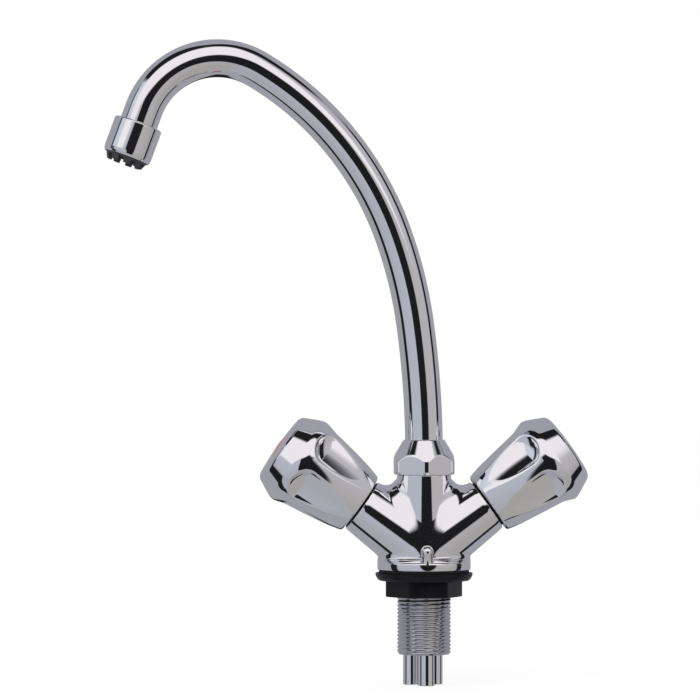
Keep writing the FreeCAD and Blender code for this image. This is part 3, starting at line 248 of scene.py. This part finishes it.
def spout_nut_field(x, y, z):
    """Hexagonal cap nut: the cone turned over its top cuts an arc into every flat."""
    reach = np.hypot(x, y)
    solid = round_max(prism(x, y, 6, SPOUT_NUT_FLATS, 0.0), reach - SPOUT_NUT_CORNER, 0.3)
    slope = np.array((SPOUT_NUT_TOP - SPOUT_NUT_SHOULDER, SPOUT_NUT_CORNER - SPOUT_NUT_TIP))
    slope /= np.hypot(*slope)
    cone = slope[0] * (reach - SPOUT_NUT_CORNER) + slope[1] * (z - SPOUT_NUT_SHOULDER)
    solid = round_max(solid, cone, 0.35)
    solid = round_max(solid, z - SPOUT_NUT_TOP, 0.4)
    foot = 0.707 * (reach - SPOUT_NUT_CORNER + SPOUT_NUT_CHAMFER + NECK_SHOULDER - z)
    solid = round_max(np.maximum(solid, NECK_SHOULDER - z), foot, 0.2)
    solid = np.maximum(solid, -np.maximum(reach - SPOUT_NUT_BORE, z - SPOUT_NUT_SEAT))
    return round_max(solid, -(reach - SPOUT_NUT_EYE), 0.3)


def back_nut_field(x, y, z):
    """Hexagonal back nut with a turned edge on its underside."""
    reach = np.hypot(x, y)
    solid = round_max(prism(x, y, 6, BACK_NUT_FLATS, math.radians(BACK_NUT_TURN)),
                      reach - BACK_NUT_CORNER, 0.4)
    solid = round_max(solid, NUT_BOTTOM - z, 0.7)
    solid = round_max(solid, z - WASHER_BOTTOM, 0.2)
    return round_max(solid, -(reach - SHANK_RADIUS - 0.1), 0.4)


# ---------------------------------------------------------------- meshes


def gradient(field, points, reach=0.004):
    """The field's slope at each point, by central differences."""
    slope = np.empty_like(points)
    for axis in range(3):
        shift = np.zeros(3)
        shift[axis] = reach
        slope[:, axis] = field(*(points + shift).T) - field(*(points - shift).T)
    return slope / (2 * reach)


def surface(field, low, high, step):
    """Points, normals and quads of the surface where the field is 0."""
    low = np.array(low, float)
    axes = [np.arange(start, end + step, step) for start, end in zip(low, high)]
    values = field(*np.meshgrid(*axes, indexing="ij"))
    inside = values < 0
    cells = np.array(values.shape) - 1
    count = np.zeros(cells, np.int8)
    for i in (0, 1):
        for j in (0, 1):
            for k in (0, 1):
                count += inside[i:cells[0] + i, j:cells[1] + j, k:cells[2] + k]
    mixed = (count > 0) & (count < 8)
    where = np.argwhere(mixed)
    number = np.full(cells, -1)
    number[mixed] = np.arange(len(where))
    total, hits = np.zeros((len(where), 3)), np.zeros(len(where))
    for axis in range(3):
        others = [i for i in range(3) if i != axis]
        for corner in ((0, 0), (0, 1), (1, 0), (1, 1)):
            start = where.copy()
            start[:, others] += corner
            end = start.copy()
            end[:, axis] += 1
            first, last = values[tuple(start.T)], values[tuple(end.T)]
            crossed = (first < 0) != (last < 0)
            point = start.astype(float)
            point[:, axis] += np.where(crossed, first / np.where(crossed, first - last, 1), 0)
            total += point * crossed[:, None]
            hits += crossed
    points = low + total / hits[:, None] * step
    for _ in range(4):
        slope = gradient(field, points)
        shift = field(*points.T) / np.maximum((slope ** 2).sum(1), 0.2)
        points -= slope * np.clip(shift, -step / 2, step / 2)[:, None]
    normals = gradient(field, points)
    normals /= np.linalg.norm(normals, axis=1)[:, None] + 1e-9
    quads = []
    for axis in range(3):
        u, v = (axis + 1) % 3, (axis + 2) % 3
        first, last = [slice(1, -1)] * 3, [slice(1, -1)] * 3
        first[axis], last[axis] = slice(0, -1), slice(1, None)
        first, last = inside[tuple(first)], inside[tuple(last)]
        for chosen, order in ((first & ~last, 1), (~first & last, -1)):
            at = np.argwhere(chosen)
            at[:, [u, v]] += 1
            ring = []
            for du, dv in ((-1, -1), (0, -1), (0, 0), (-1, 0)):
                cell = at.copy()
                cell[:, u] += du
                cell[:, v] += dv
                ring.append(number[tuple(cell.T)])
            quads.append(np.stack(ring[::order], 1))
    return points, normals, np.concatenate(quads)


def profile(corners):
    """(radius, height, rounding) corners, anticlockwise, as points with their outward normals."""
    points = []
    spots = [np.array(corner[:2], float) for corner in corners]
    for i, corner in enumerate(corners):
        before = spots[i] - spots[i - 1]
        after = spots[(i + 1) % len(spots)] - spots[i]
        before, after = before / np.linalg.norm(before), after / np.linalg.norm(after)
        start = math.atan2(-before[0], before[1])
        turn = math.atan2(before[0] * after[1] - before[1] * after[0], before @ after)
        r = corner[2] if len(corner) > 2 else 0.0
        cut = r * abs(math.tan(turn / 2))
        steps = max(2, round(abs(turn) / 0.26)) if r else 1
        entry = spots[i] - before * cut
        for k in range(steps + 1):
            angle = start + turn * k / steps
            normal = np.array((math.cos(angle), math.sin(angle)))
            first = np.array((math.cos(start), math.sin(start)))
            points.append((entry + (normal - first) * math.copysign(r, turn), normal))
    return points


def lathe(corners, sides=96):
    """Points, normals and faces of an outline of (radius, height) corners turned about Z."""
    outline = profile(corners)
    angles = np.arange(sides) * 2 * math.pi / sides
    ring = np.stack((np.cos(angles), np.sin(angles)), 1)
    points, normals = [], []
    for spot, normal in outline:
        points.append(np.column_stack((ring * max(spot[0], 0), np.full(sides, spot[1]))))
        normals.append(np.column_stack((ring * normal[0], np.full(sides, normal[1]))))
    faces = []
    for i, (spot, _) in enumerate(outline):
        j = (i + 1) % len(outline)
        other = outline[j][0]
        if np.linalg.norm(spot - other) < 1e-6 or max(spot[0], other[0]) < 1e-6:
            continue
        for k in range(sides):
            m = (k + 1) % sides
            face = [i * sides + k, i * sides + m, j * sides + m, j * sides + k]
            if spot[0] < 1e-6:
                face.pop(1)
            elif other[0] < 1e-6:
                face.pop(2)
            faces.append(face)
    return np.concatenate(points), np.concatenate(normals), faces


def grid_faces(rows, columns):
    """Quads of a grid of points whose columns run round."""
    a = np.arange((rows - 1) * columns).reshape(rows - 1, columns)
    b = np.roll(a, -1, axis=1)
    return np.stack((a, b, b + columns, a + columns), 2).reshape(-1, 4)


def as_list(faces):
    return faces.tolist() if isinstance(faces, np.ndarray) else faces


def piece(name, shape, slot, body, *nodes):
    """A mesh from points in mm, which rides on a CAD body and stands for CAD nodes."""
    points, normals, faces = shape
    mesh = bpy.data.meshes.new(name)
    mesh.from_pydata((np.asarray(points) / 1000).tolist(), [], as_list(faces))
    mesh.shade_smooth()
    mesh.normals_split_custom_set_from_vertices(np.asarray(normals).tolist())
    mesh.materials.append(FINISHES[slot])
    item = bpy.data.objects.new(name, mesh)
    bpy.context.scene.collection.objects.link(item)
    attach(item, body)
    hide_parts(*nodes)
    return item


def moved(shape, place):
    """A shape in mm under a placement whose translation is in mm."""
    points, normals, faces = shape
    turn = np.array(place.to_3x3())
    return points @ turn.T + np.array(place.translation), normals @ turn.T, faces


# ---------------------------------------------------------------- finishes


class Graph:
    """Short names for adding nodes to a material or the world."""

    def __init__(self, tree):
        self.tree = tree
        self.tree.nodes.clear()

    def node(self, kind, **settings):
        made = self.tree.nodes.new(kind)
        for key, value in settings.items():
            setattr(made, key, value)
        return made

    def feed(self, socket, value):
        if isinstance(value, bpy.types.NodeSocket):
            self.tree.links.new(value, socket)
        else:
            socket.default_value = value

    def maths(self, operation, *values):
        made = self.node("ShaderNodeMath", operation=operation)
        for socket, value in zip(made.inputs, values):
            self.feed(socket, value)
        return made.outputs[0]

    def ramp(self, value, low, high, to_low=0.0, to_high=1.0, smooth=True):
        made = self.node("ShaderNodeMapRange",
                         interpolation_type="SMOOTHSTEP" if smooth else "LINEAR")
        for socket, number in zip(made.inputs, (value, low, high, to_low, to_high)):
            self.feed(socket, number)
        return made.outputs[0]

    def mix(self, factor, first, second):
        made = self.node("ShaderNodeMix", data_type="RGBA")
        for index, value in ((0, factor), (6, first), (7, second)):
            self.feed(made.inputs[index], value)
        return made.outputs[2]


def colour(values):
    return tuple(values) + (1.0,)


def finish(name, base, metallic, roughness, spread, shade, grain, bump, depth, coat=0.0,
           gloss=0.5):
    """A surface whose colour, roughness and relief vary as the real one's do: shade is how far its
    colour darkens in patches, grain the number of fine grains to a metre, depth in metres."""
    material = bpy.data.materials.new(name)
    material.use_nodes = True
    graph = Graph(material.node_tree)
    output = graph.node("ShaderNodeOutputMaterial")
    shader = graph.node("ShaderNodeBsdfPrincipled")
    graph.feed(output.inputs["Surface"], shader.outputs[0])
    place = graph.node("ShaderNodeTexCoord").outputs["Object"]
    clouds = graph.node("ShaderNodeTexNoise")
    graph.feed(clouds.inputs["Vector"], place)
    clouds.inputs["Scale"].default_value = grain / 6
    clouds.inputs["Detail"].default_value = 3
    fine = graph.node("ShaderNodeTexNoise")
    graph.feed(fine.inputs["Vector"], place)
    fine.inputs["Scale"].default_value = grain
    fine.inputs["Detail"].default_value = 2
    dark = colour(c * shade for c in base)
    cloud = graph.ramp(clouds.outputs[0], 0.3, 0.7)
    graph.feed(shader.inputs["Base Color"], graph.mix(cloud, dark, colour(base)))
    shader.inputs["Metallic"].default_value = metallic
    graph.feed(shader.inputs["Roughness"],
               graph.ramp(clouds.outputs[0], 0.35, 0.75, roughness, roughness + spread))
    relief = graph.node("ShaderNodeBump")
    relief.inputs["Strength"].default_value = bump
    relief.inputs["Distance"].default_value = depth
    graph.feed(relief.inputs["Height"], fine.outputs[0])
    graph.feed(shader.inputs["Normal"], relief.outputs[0])
    shader.inputs["Specular IOR Level"].default_value = gloss
    shader.inputs["Coat Weight"].default_value = coat
    shader.inputs["Coat Roughness"].default_value = 0.06
    return material


FINISHES = {
    "chrome": finish("polished_chrome", (0.90, 0.905, 0.92), 1.0, 0.035, 0.03, 0.985, 220, 0.04,
                     2e-5),
    "brass": finish("turned_brass", (0.78, 0.60, 0.30), 1.0, 0.25, 0.12, 0.85, 500, 0.2, 3e-5),
    "black_rubber": finish("black_rubber", (0.010, 0.010, 0.011), 0.0, 0.6, 0.2, 0.7, 900, 0.4,
                           5e-5, gloss=0.25),
    "black_plastic": finish("black_plastic", (0.0055, 0.0048, 0.0065), 0.0, 0.32, 0.12, 0.8, 700,
                            0.3, 4e-5, gloss=0.2),
    "grey_plastic": finish("grey_plastic", (0.035, 0.035, 0.038), 0.0, 0.4, 0.15, 0.8, 600, 0.3,
                           4e-5, gloss=0.35),
    "nylon": finish("nylon", (0.80, 0.79, 0.74), 0.0, 0.4, 0.15, 0.92, 400, 0.2, 4e-5),
    "steel": finish("plain_steel", (0.62, 0.62, 0.63), 1.0, 0.3, 0.15, 0.9, 400, 0.2, 3e-5),
    "steel_mesh": finish("wire_mesh", (0.6, 0.6, 0.6), 1.0, 0.4, 0.2, 0.5, 1500, 1.0, 2e-4),
    "red_index": finish("red_disc", (0.70, 0.03, 0.03), 0.0, 0.15, 0.08, 0.9, 500, 0.1, 2e-5,
                        coat=0.6),
    "blue_index": finish("blue_disc", (0.03, 0.11, 0.60), 0.0, 0.15, 0.08, 0.9, 500, 0.1, 2e-5,
                         coat=0.6),
}

for part in frame["record"]["subparts"]:
    node = frame["nodes"][part["node"]]
    node.data.materials.clear()
    node.data.materials.append(FINISHES[part["material_slot"]])

# ---------------------------------------------------------------- body, mounting and tails

body = piece("faucet_body", surface(body_field, (-42, -24, -1), (42, 24, 51), STEP), "chrome",
             "faucet", "body").data
# the arms' ends inside the handles are coloured near black, as painted shade that shows as a dark
# line in the gap between arm and handle
centres = np.empty(len(body.polygons) * 3, np.float32)
body.polygons.foreach_get("center", centres)
centres = centres.reshape(-1, 3) * 1000
along = (np.abs(centres[:, 0]) * math.cos(ARM_LEAN)
         + (centres[:, 2] - ARM_HEIGHT) * math.sin(ARM_LEAN))
body.materials.append(finish("painted_shade_recess", (0.012, 0.012, 0.014), 0.0, 0.6, 0.2, 0.7, 600, 0.3,
                             5e-5, gloss=0.2))
body.polygons.foreach_set("material_index", (along > PAINTED_SHADE_EDGE).astype(np.int32))
body.update()

# the stay's post and the ball on it, whose normals point away from the ball's centre
rise = math.sqrt(STAY_BALL ** 2 - STAY_RADIUS ** 2)
outline = [(0, STAY_BOTTOM, 0), (STAY_RADIUS, STAY_BOTTOM, 0)]
for angle in np.linspace(math.atan2(-rise, STAY_RADIUS), math.pi / 2, 17):
    outline.append((max(STAY_BALL * math.cos(angle), 0.0),
                    STAY_BALL_HEIGHT + STAY_BALL * math.sin(angle), 0))
stay = lathe(outline, 48)
away = stay[0] - np.array((0, 0, STAY_BALL_HEIGHT))
on_ball = np.abs(np.linalg.norm(away, axis=1) - STAY_BALL) < 1e-3
stay[1][on_ball] = away[on_ball] / STAY_BALL
piece("stay_post", moved(stay, Matrix.Translation((*STAY, 0))), "chrome", "faucet", "chain_stay")

gasket = lathe([(WASHER_BORE, GASKET_BOTTOM), (GASKET_RADIUS, GASKET_BOTTOM, 0.4),
                (GASKET_RADIUS, 0, 0.2), (WASHER_BORE, 0)])
piece("deck_gasket", gasket, "black_rubber", "faucet", "base_gasket")
washer = lathe([
    (WASHER_BORE, WASHER_BOTTOM, 0.2), (WASHER_WAIST, WASHER_BOTTOM, 0.5),
    (WASHER_RADIUS - 0.7, WASHER_BOTTOM + 1.2, 1.2), (WASHER_RADIUS, WASHER_BOTTOM + 2.8, 0.8),
    (WASHER_RADIUS, GASKET_BOTTOM, 0.35), (WASHER_BORE, GASKET_BOTTOM, 0.2)])
piece("dished_washer", washer, "black_plastic", "faucet", "flange_washer")
piece("hex_back_nut", surface(back_nut_field, (-20, -20, -14), (20, 20, -4.5), STEP),
      "black_plastic", "faucet", "back_nut")


def thread(sides, rows):
    """The stud's outside: a helical thread with straight flanks that runs out at the end."""
    heights = np.linspace(SHANK_END, THREAD_END, rows)[:, None]
    angles = np.arange(sides)[None, :] * 2 * math.pi / sides
    mean = SHANK_RADIUS - THREAD_SINK - THREAD_WAVE / 2

    def radius(angle, height):
        sharpness = 0.96
        wave = np.arcsin(sharpness * np.cos(2 * math.pi * height / THREAD_PITCH - angle))
        chamfer = SHANK_RADIUS - THREAD_DEPTH * 1.05 + (height - SHANK_END) * 0.9
        return np.minimum(mean + THREAD_WAVE / 2 * wave / math.asin(sharpness), chamfer)

    r = radius(angles, heights)
    tilt = (radius(angles, heights + 1e-3) - radius(angles, heights - 1e-3)) / 2e-3
    swirl = (radius(angles + 1e-3, heights) - radius(angles - 1e-3, heights)) / 2e-3 / r
    x, y = np.cos(angles), np.sin(angles)
    points = np.stack((r * x, r * y, heights + 0 * r), 2).reshape(-1, 3)
    normals = np.stack((x + swirl * y, y - swirl * x, -tilt), 2).reshape(-1, 3)
    normals /= np.linalg.norm(normals, axis=1)[:, None]
    return points, normals, grid_faces(rows, sides)


def joined(*shapes):
    """Several shapes as one."""
    points, normals, faces, start = [], [], [], 0
    for shape in shapes:
        points.append(shape[0])
        normals.append(shape[1])
        faces += [[i + start for i in face] for face in as_list(shape[2])]
        start += len(shape[0])
    return np.concatenate(points), np.concatenate(normals), faces


root = SHANK_RADIUS - THREAD_DEPTH - 0.06
core = lathe([(SHANK_BORE, SHANK_END, 0.25), (root, SHANK_END, 0.1), (root, THREAD_END - 0.2),
              (SHANK_RADIUS, THREAD_END), (SHANK_RADIUS, COUNTERBORE_TOP),
              (SHANK_BORE, COUNTERBORE_TOP)])
stud = piece("threaded_stud", joined(thread(128, 340), core), "chrome",
             "faucet", "threaded_shank")
stud.data.materials[0] = finish("plated_thread", (0.66, 0.66, 0.69), 1.0, 0.07, 0.05, 0.9, 260,
                                0.1, 3e-5)

tail = lathe([(TAIL_BORE, TAIL_END, 0.25), (TAIL_RADIUS, TAIL_END, 0.3),
              (TAIL_RADIUS, TAIL_COLLAR_BOTTOM), (TAIL_COLLAR, TAIL_COLLAR_BOTTOM),
              (TAIL_COLLAR, TAIL_COLLAR_TOP), (TAIL_BORE, TAIL_COLLAR_TOP)], 64)
for name, angle in TAIL_ANGLES.items():
    angle = math.radians(angle)
    spot = (TAIL_CIRCLE * math.cos(angle), TAIL_CIRCLE * math.sin(angle), 0)
    piece(name.replace("_tail", "_tube"), moved(tail, Matrix.Translation(spot)), "chrome",
          "faucet", name)

# ---------------------------------------------------------------- spout


def spout_line():
    """The spout's centre line as (point, direction) in its own upright plane."""
    at, heading = np.array((0.0, TUBE_START)), math.radians(90)
    line = [(at, heading)]
    at = at + (0, TUBE_RISE)
    for radius, turn in TUBE_ARCS:
        turn = math.radians(turn)
        centre = at + radius * np.array((-math.sin(heading), math.cos(heading)))
        for turned in np.append(np.arange(0, turn - ARC_STEP / 3, ARC_STEP), turn):
            now = heading + turned
            spot = centre + radius * np.array((math.sin(now), -math.cos(now)))
            if np.linalg.norm(spot - line[-1][0]) > 1e-6:
                line.append((spot, now))
        at, heading = spot, now
    line.append((at + TUBE_TAIL * np.array((math.cos(heading), math.sin(heading))), heading))
    return line


def along_spout(line, radius, outward=1, sides=96):
    """Points and normals of a tube round the line, turned by the spout's swing."""
    angles = -np.arange(sides) * 2 * math.pi / sides * outward
    points, normals = [], []
    swing = Matrix.Rotation(SPOUT_SWING, 3, "Z")
    for at, heading in line:
        left = np.array(swing @ Vector((-math.sin(heading), 0, math.cos(heading))))
        out = np.array(swing @ Vector((0, 1, 0)))
        centre = np.array(swing @ Vector((at[0], 0, at[1])))
        normal = np.outer(np.cos(angles), left) + np.outer(np.sin(angles), out)
        points.append(centre + radius * normal)
        normals.append(normal * outward)
    return np.concatenate(points), np.concatenate(normals), grid_faces(len(line), sides)


SPOUT_LINE = spout_line()
swing = Matrix.Rotation(SPOUT_SWING, 4, "Z")
tube = along_spout(SPOUT_LINE, TUBE_RADIUS)
bore = along_spout(SPOUT_LINE, TUBE_RADIUS - TUBE_WALL, -1)
lips = []
for end, direction in ((0, -1), (-1, 1)):
    at, angle = SPOUT_LINE[end]
    facing = np.array(swing @ Vector((math.cos(angle), 0, math.sin(angle)))) * direction
    ring = [along_spout([SPOUT_LINE[end]], r)[0] for r in (TUBE_RADIUS, TUBE_RADIUS - TUBE_WALL)]
    lips.append((np.concatenate(ring), np.tile(facing, (2 * len(ring[0]), 1)),
                 grid_faces(2, len(ring[0]))[:, ::direction]))
piece("swan_neck", joined(tube, bore, *lips), "chrome", "spout", "spout_tube")

# the aerator's axis goes on from the tube's end, and its step sits on that end
tip, heading = SPOUT_LINE[-1]
forward = (swing @ Vector((math.cos(heading), 0, math.sin(heading)))).normalized()
aside = (swing @ Vector((0, 1, 0))).normalized()
across = aside.cross(forward)
nose = swing @ Vector((tip[0], 0, tip[1])) - forward * AERATOR_STEP
at_nose = Matrix((
    (across.x, aside.x, forward.x, nose.x), (across.y, aside.y, forward.y, nose.y),
    (across.z, aside.z, forward.z, nose.z), (0, 0, 0, 1)))
sleeve = lathe([
    (AERATOR_EYE, 0, 0.1), (AERATOR_RADIUS, 0, 0.9), (AERATOR_RADIUS, AERATOR_LENGTH - 2.4, 1.5),
    (AERATOR_RADIUS - 0.25, AERATOR_LENGTH - 1.0, 0.5), (AERATOR_MOUTH, AERATOR_LENGTH, 0.3),
    (AERATOR_BORE, AERATOR_LENGTH, 0.1), (AERATOR_BORE, AERATOR_STEP),
    (AERATOR_EYE, AERATOR_STEP)])
piece("aerator_sleeve", moved(sleeve, at_nose), "chrome", "spout", "aerator_housing")
piece("spout_cap_nut", surface(spout_nut_field, (-16, -16, 45), (16, 16, 63.5), STEP * 0.8),
      "chrome", "faucet", "spout_nut")

# ---------------------------------------------------------------- handles

handle = surface(handle_field, (-23.5, -23.5, -1), (23.5, 23.5, 49.5), STEP)
for word, side in SIDES.items():
    place = (Matrix.Translation((0, 0, ARM_HEIGHT))
             @ Matrix.Rotation(side * (math.pi / 2 - ARM_LEAN), 4, "Y")
             @ Matrix.Rotation(math.radians(HANDLE_TURNS[word]), 4, "Z")
             @ Matrix.Translation((0, 0, HANDLE_RIM)))
    piece(f"{word}_handle_shell", moved(handle, place), "chrome", f"{word}_handle_set",
          f"{word}_handle")

# ---------------------------------------------------------------- studio, floor, lamp and camera

# angles in degrees; azimuth 0 lies FRONT to the left of the object's front
FRONT = 4.5
MIDDLE_CENTRE, MIDDLE_HALF_WIDTH, MIDDLE_DEPTH = 10.5, 20.5, 27


def studio():
    """Plain pale surroundings, with the dark and bright cards that polished metal mirrors."""
    world = bpy.data.worlds.new("studio")
    world.use_nodes = True
    bpy.context.scene.world = world
    graph = Graph(world.node_tree)
    direction = graph.node("ShaderNodeTexCoord").outputs["Generated"]
    split = graph.node("ShaderNodeSeparateXYZ")
    graph.feed(split.inputs[0], direction)
    x, y, z = split.outputs
    # azimuth round Z, negative to the left as seen from the front; over, up from the front and
    # over the top to the back; and height above the horizon
    to_degrees = 180 / math.pi
    azimuth = graph.maths("MULTIPLY", graph.maths("ARCTAN2", x, graph.maths("MULTIPLY", y, -1.0)),
                          to_degrees)
    azimuth = graph.maths("ADD", azimuth, FRONT)
    front = graph.maths("SUBTRACT", graph.maths("MULTIPLY", y, -math.cos(math.radians(FRONT))),
                        graph.maths("MULTIPLY", x, math.sin(math.radians(FRONT))))
    over = graph.maths("MULTIPLY", graph.maths("ARCTAN2", z, front), to_degrees)
    height = graph.maths("MULTIPLY", graph.maths("ARCSINE", z), to_degrees)

    def between(value, low, high, soft):
        """1 between low and high, 0 outside, with edges as wide as soft."""
        rising = graph.ramp(value, low - soft / 2, low + soft / 2)
        falling = graph.ramp(value, high - soft / 2, high + soft / 2, 1.0, 0.0)
        return graph.maths("MULTIPLY", rising, falling)

    def both(a, b):
        return graph.maths("MULTIPLY", a, b)

    grey, black = colour((0.36, 0.36, 0.40)), colour((0.012, 0.012, 0.014))
    bluish, beige = colour((0.49, 0.50, 0.57)), colour((0.48, 0.465, 0.47))
    low_bluish, low_beige = colour((0.41, 0.41, 0.45)), colour((0.40, 0.385, 0.375))
    white = colour((0.92, 0.88, 0.91))
    bright, mild = colour((0.62, 0.65, 0.74)), colour((0.50, 0.49, 0.52))
    shade = grey
    # the back: a dark strip, below the horizon
    behind = graph.maths("ABSOLUTE", azimuth)
    strip = both(graph.ramp(behind, 166, 172), between(height, -60, -5, 6))
    shade = graph.mix(strip, shade, black)
    # sides, from left to right; the dark middle narrows to a point at its lower end
    depth = graph.maths("MAXIMUM", graph.maths("MULTIPLY", over, -1 / MIDDLE_DEPTH), 0.0)
    depth = graph.maths("MINIMUM", depth, 1.0)
    width = graph.maths("SQRT", graph.maths("SUBTRACT", 1.0, both(depth, depth)))
    off_middle = graph.maths("ABSOLUTE", graph.maths("SUBTRACT", azimuth, MIDDLE_CENTRE))
    past_edge = graph.maths("SUBTRACT", off_middle,
                            graph.maths("MULTIPLY", width, MIDDLE_HALF_WIDTH))
    middle = graph.ramp(past_edge, -2.0, 2.0, 1.0, 0.0)
    rising = graph.ramp(over, -60, 12)
    cool = graph.mix(rising, low_bluish, bluish)
    warm = graph.mix(rising, low_beige, beige)
    sides = graph.mix(between(azimuth, -91, -71, 3), grey, black)
    sides = graph.mix(between(azimuth, -69, 10, 6), sides, cool)
    sides = graph.mix(between(azimuth, 10, 87, 6), sides, warm)
    sides = graph.mix(middle, sides, black)
    sides = graph.mix(between(azimuth, 90, 107, 3), sides, black)
    in_front = between(azimuth, -92, 108, 2)
    shade = graph.mix(both(between(height, -78, 38, 6), in_front), shade, sides)
    # below the dark middle
    under = between(over, -79, -28, 6)
    low = graph.mix(graph.ramp(azimuth, 4, 14), cool, warm)
    shade = graph.mix(both(under, between(azimuth, -60, 86, 6)), shade, low)
    # pale cards high on both sides
    high = both(between(behind, 50, 82, 8), between(height, 12, 46, 8))
    shade = graph.mix(high, shade, graph.mix(graph.ramp(azimuth, -5, 5), bright, mild))
    # overhead: white box, then a dark gap behind it; the edge between them is lower on the left
    slant = both(graph.maths("MULTIPLY", azimuth, 0.1), graph.ramp(over, 40, 60))
    above = graph.maths("SUBTRACT", over, slant)
    gap = graph.maths("MINIMUM", graph.ramp(above, 66, 69), graph.ramp(over, 102, 106, 1.0, 0.0))
    gap = both(gap, between(azimuth, -120, 120, 6))
    shade = graph.mix(both(gap, graph.ramp(height, 41, 46)), shade, black)
    box = both(between(above, 18, 70, 6), between(azimuth, -56, 57, 12))
    shade = graph.mix(box, shade, white)

    path = graph.node("ShaderNodeLightPath")
    mirrored = graph.node("ShaderNodeBackground")
    graph.feed(mirrored.inputs["Color"], shade)
    plain = graph.node("ShaderNodeBackground")
    plain.inputs["Color"].default_value = (0.97, 0.975, 0.98, 1)
    seen = graph.node("ShaderNodeBackground")
    seen.inputs["Color"].default_value = (1, 1, 1, 1)
    first = graph.node("ShaderNodeMixShader")
    graph.feed(first.inputs[0], path.outputs["Is Glossy Ray"])
    graph.feed(first.inputs[1], plain.outputs[0])
    graph.feed(first.inputs[2], mirrored.outputs[0])
    last = graph.node("ShaderNodeMixShader")
    graph.feed(last.inputs[0], path.outputs["Is Camera Ray"])
    graph.feed(last.inputs[1], first.outputs[0])
    graph.feed(last.inputs[2], seen.outputs[0])
    graph.feed(graph.node("ShaderNodeOutputWorld").inputs["Surface"], last.outputs[0])


studio()

floor_level = CAD_BOX[0][2] - 0.0002
half = 6.0
floor_mesh = bpy.data.meshes.new("floor")
floor_mesh.from_pydata([(-half, -half, floor_level), (half, -half, floor_level),
                        (half, half, floor_level), (-half, half, floor_level)], [], [(0, 1, 2, 3)])
floor = bpy.data.objects.new("floor", floor_mesh)
bpy.context.scene.collection.objects.link(floor)
pale = bpy.data.materials.new("pale_floor")
pale.use_nodes = True
graph = Graph(pale.node_tree)
diffuse = graph.node("ShaderNodeBsdfDiffuse")
diffuse.inputs["Color"].default_value = (0.96, 0.96, 0.96, 1)
# most of what the camera sees of the floor is plain white; the rest keeps the object's shadow
glow = graph.node("ShaderNodeEmission")
seen = graph.node("ShaderNodeLightPath").outputs["Is Camera Ray"]
mixed = graph.node("ShaderNodeMixShader")
graph.feed(mixed.inputs[0], graph.maths("MULTIPLY", seen, 0.85))
graph.feed(mixed.inputs[1], diffuse.outputs[0])
graph.feed(mixed.inputs[2], glow.outputs[0])
graph.feed(graph.node("ShaderNodeOutputMaterial").inputs["Surface"], mixed.outputs[0])
floor_mesh.materials.append(pale)
floor.visible_glossy = False

lamp = bpy.data.lights.new("soft_key", "AREA")
lamp.size, lamp.energy = 1.2, 12
key = bpy.data.objects.new("soft_key", lamp)
key.location = (-0.8, -1.2, 1.4)
aim = Vector((0, 0, 0.1))
key.rotation_euler = (aim - key.location).to_track_quat("-Z", "Y").to_euler()
key.visible_glossy = False
bpy.context.scene.collection.objects.link(key)

camera_data = bpy.data.cameras.new("camera")
camera_data.lens, camera_data.sensor_width = 212.9, 36
camera_data.clip_end = 50
camera = bpy.data.objects.new("camera", camera_data)
camera.location = (-0.15692, -1.99383, 0.106)
camera.rotation_euler = (math.radians(90), 0, math.radians(-3.476))
bpy.context.scene.collection.objects.link(camera)
bpy.context.scene.camera = camera
bpy.context.scene.view_settings.view_transform = "Standard"
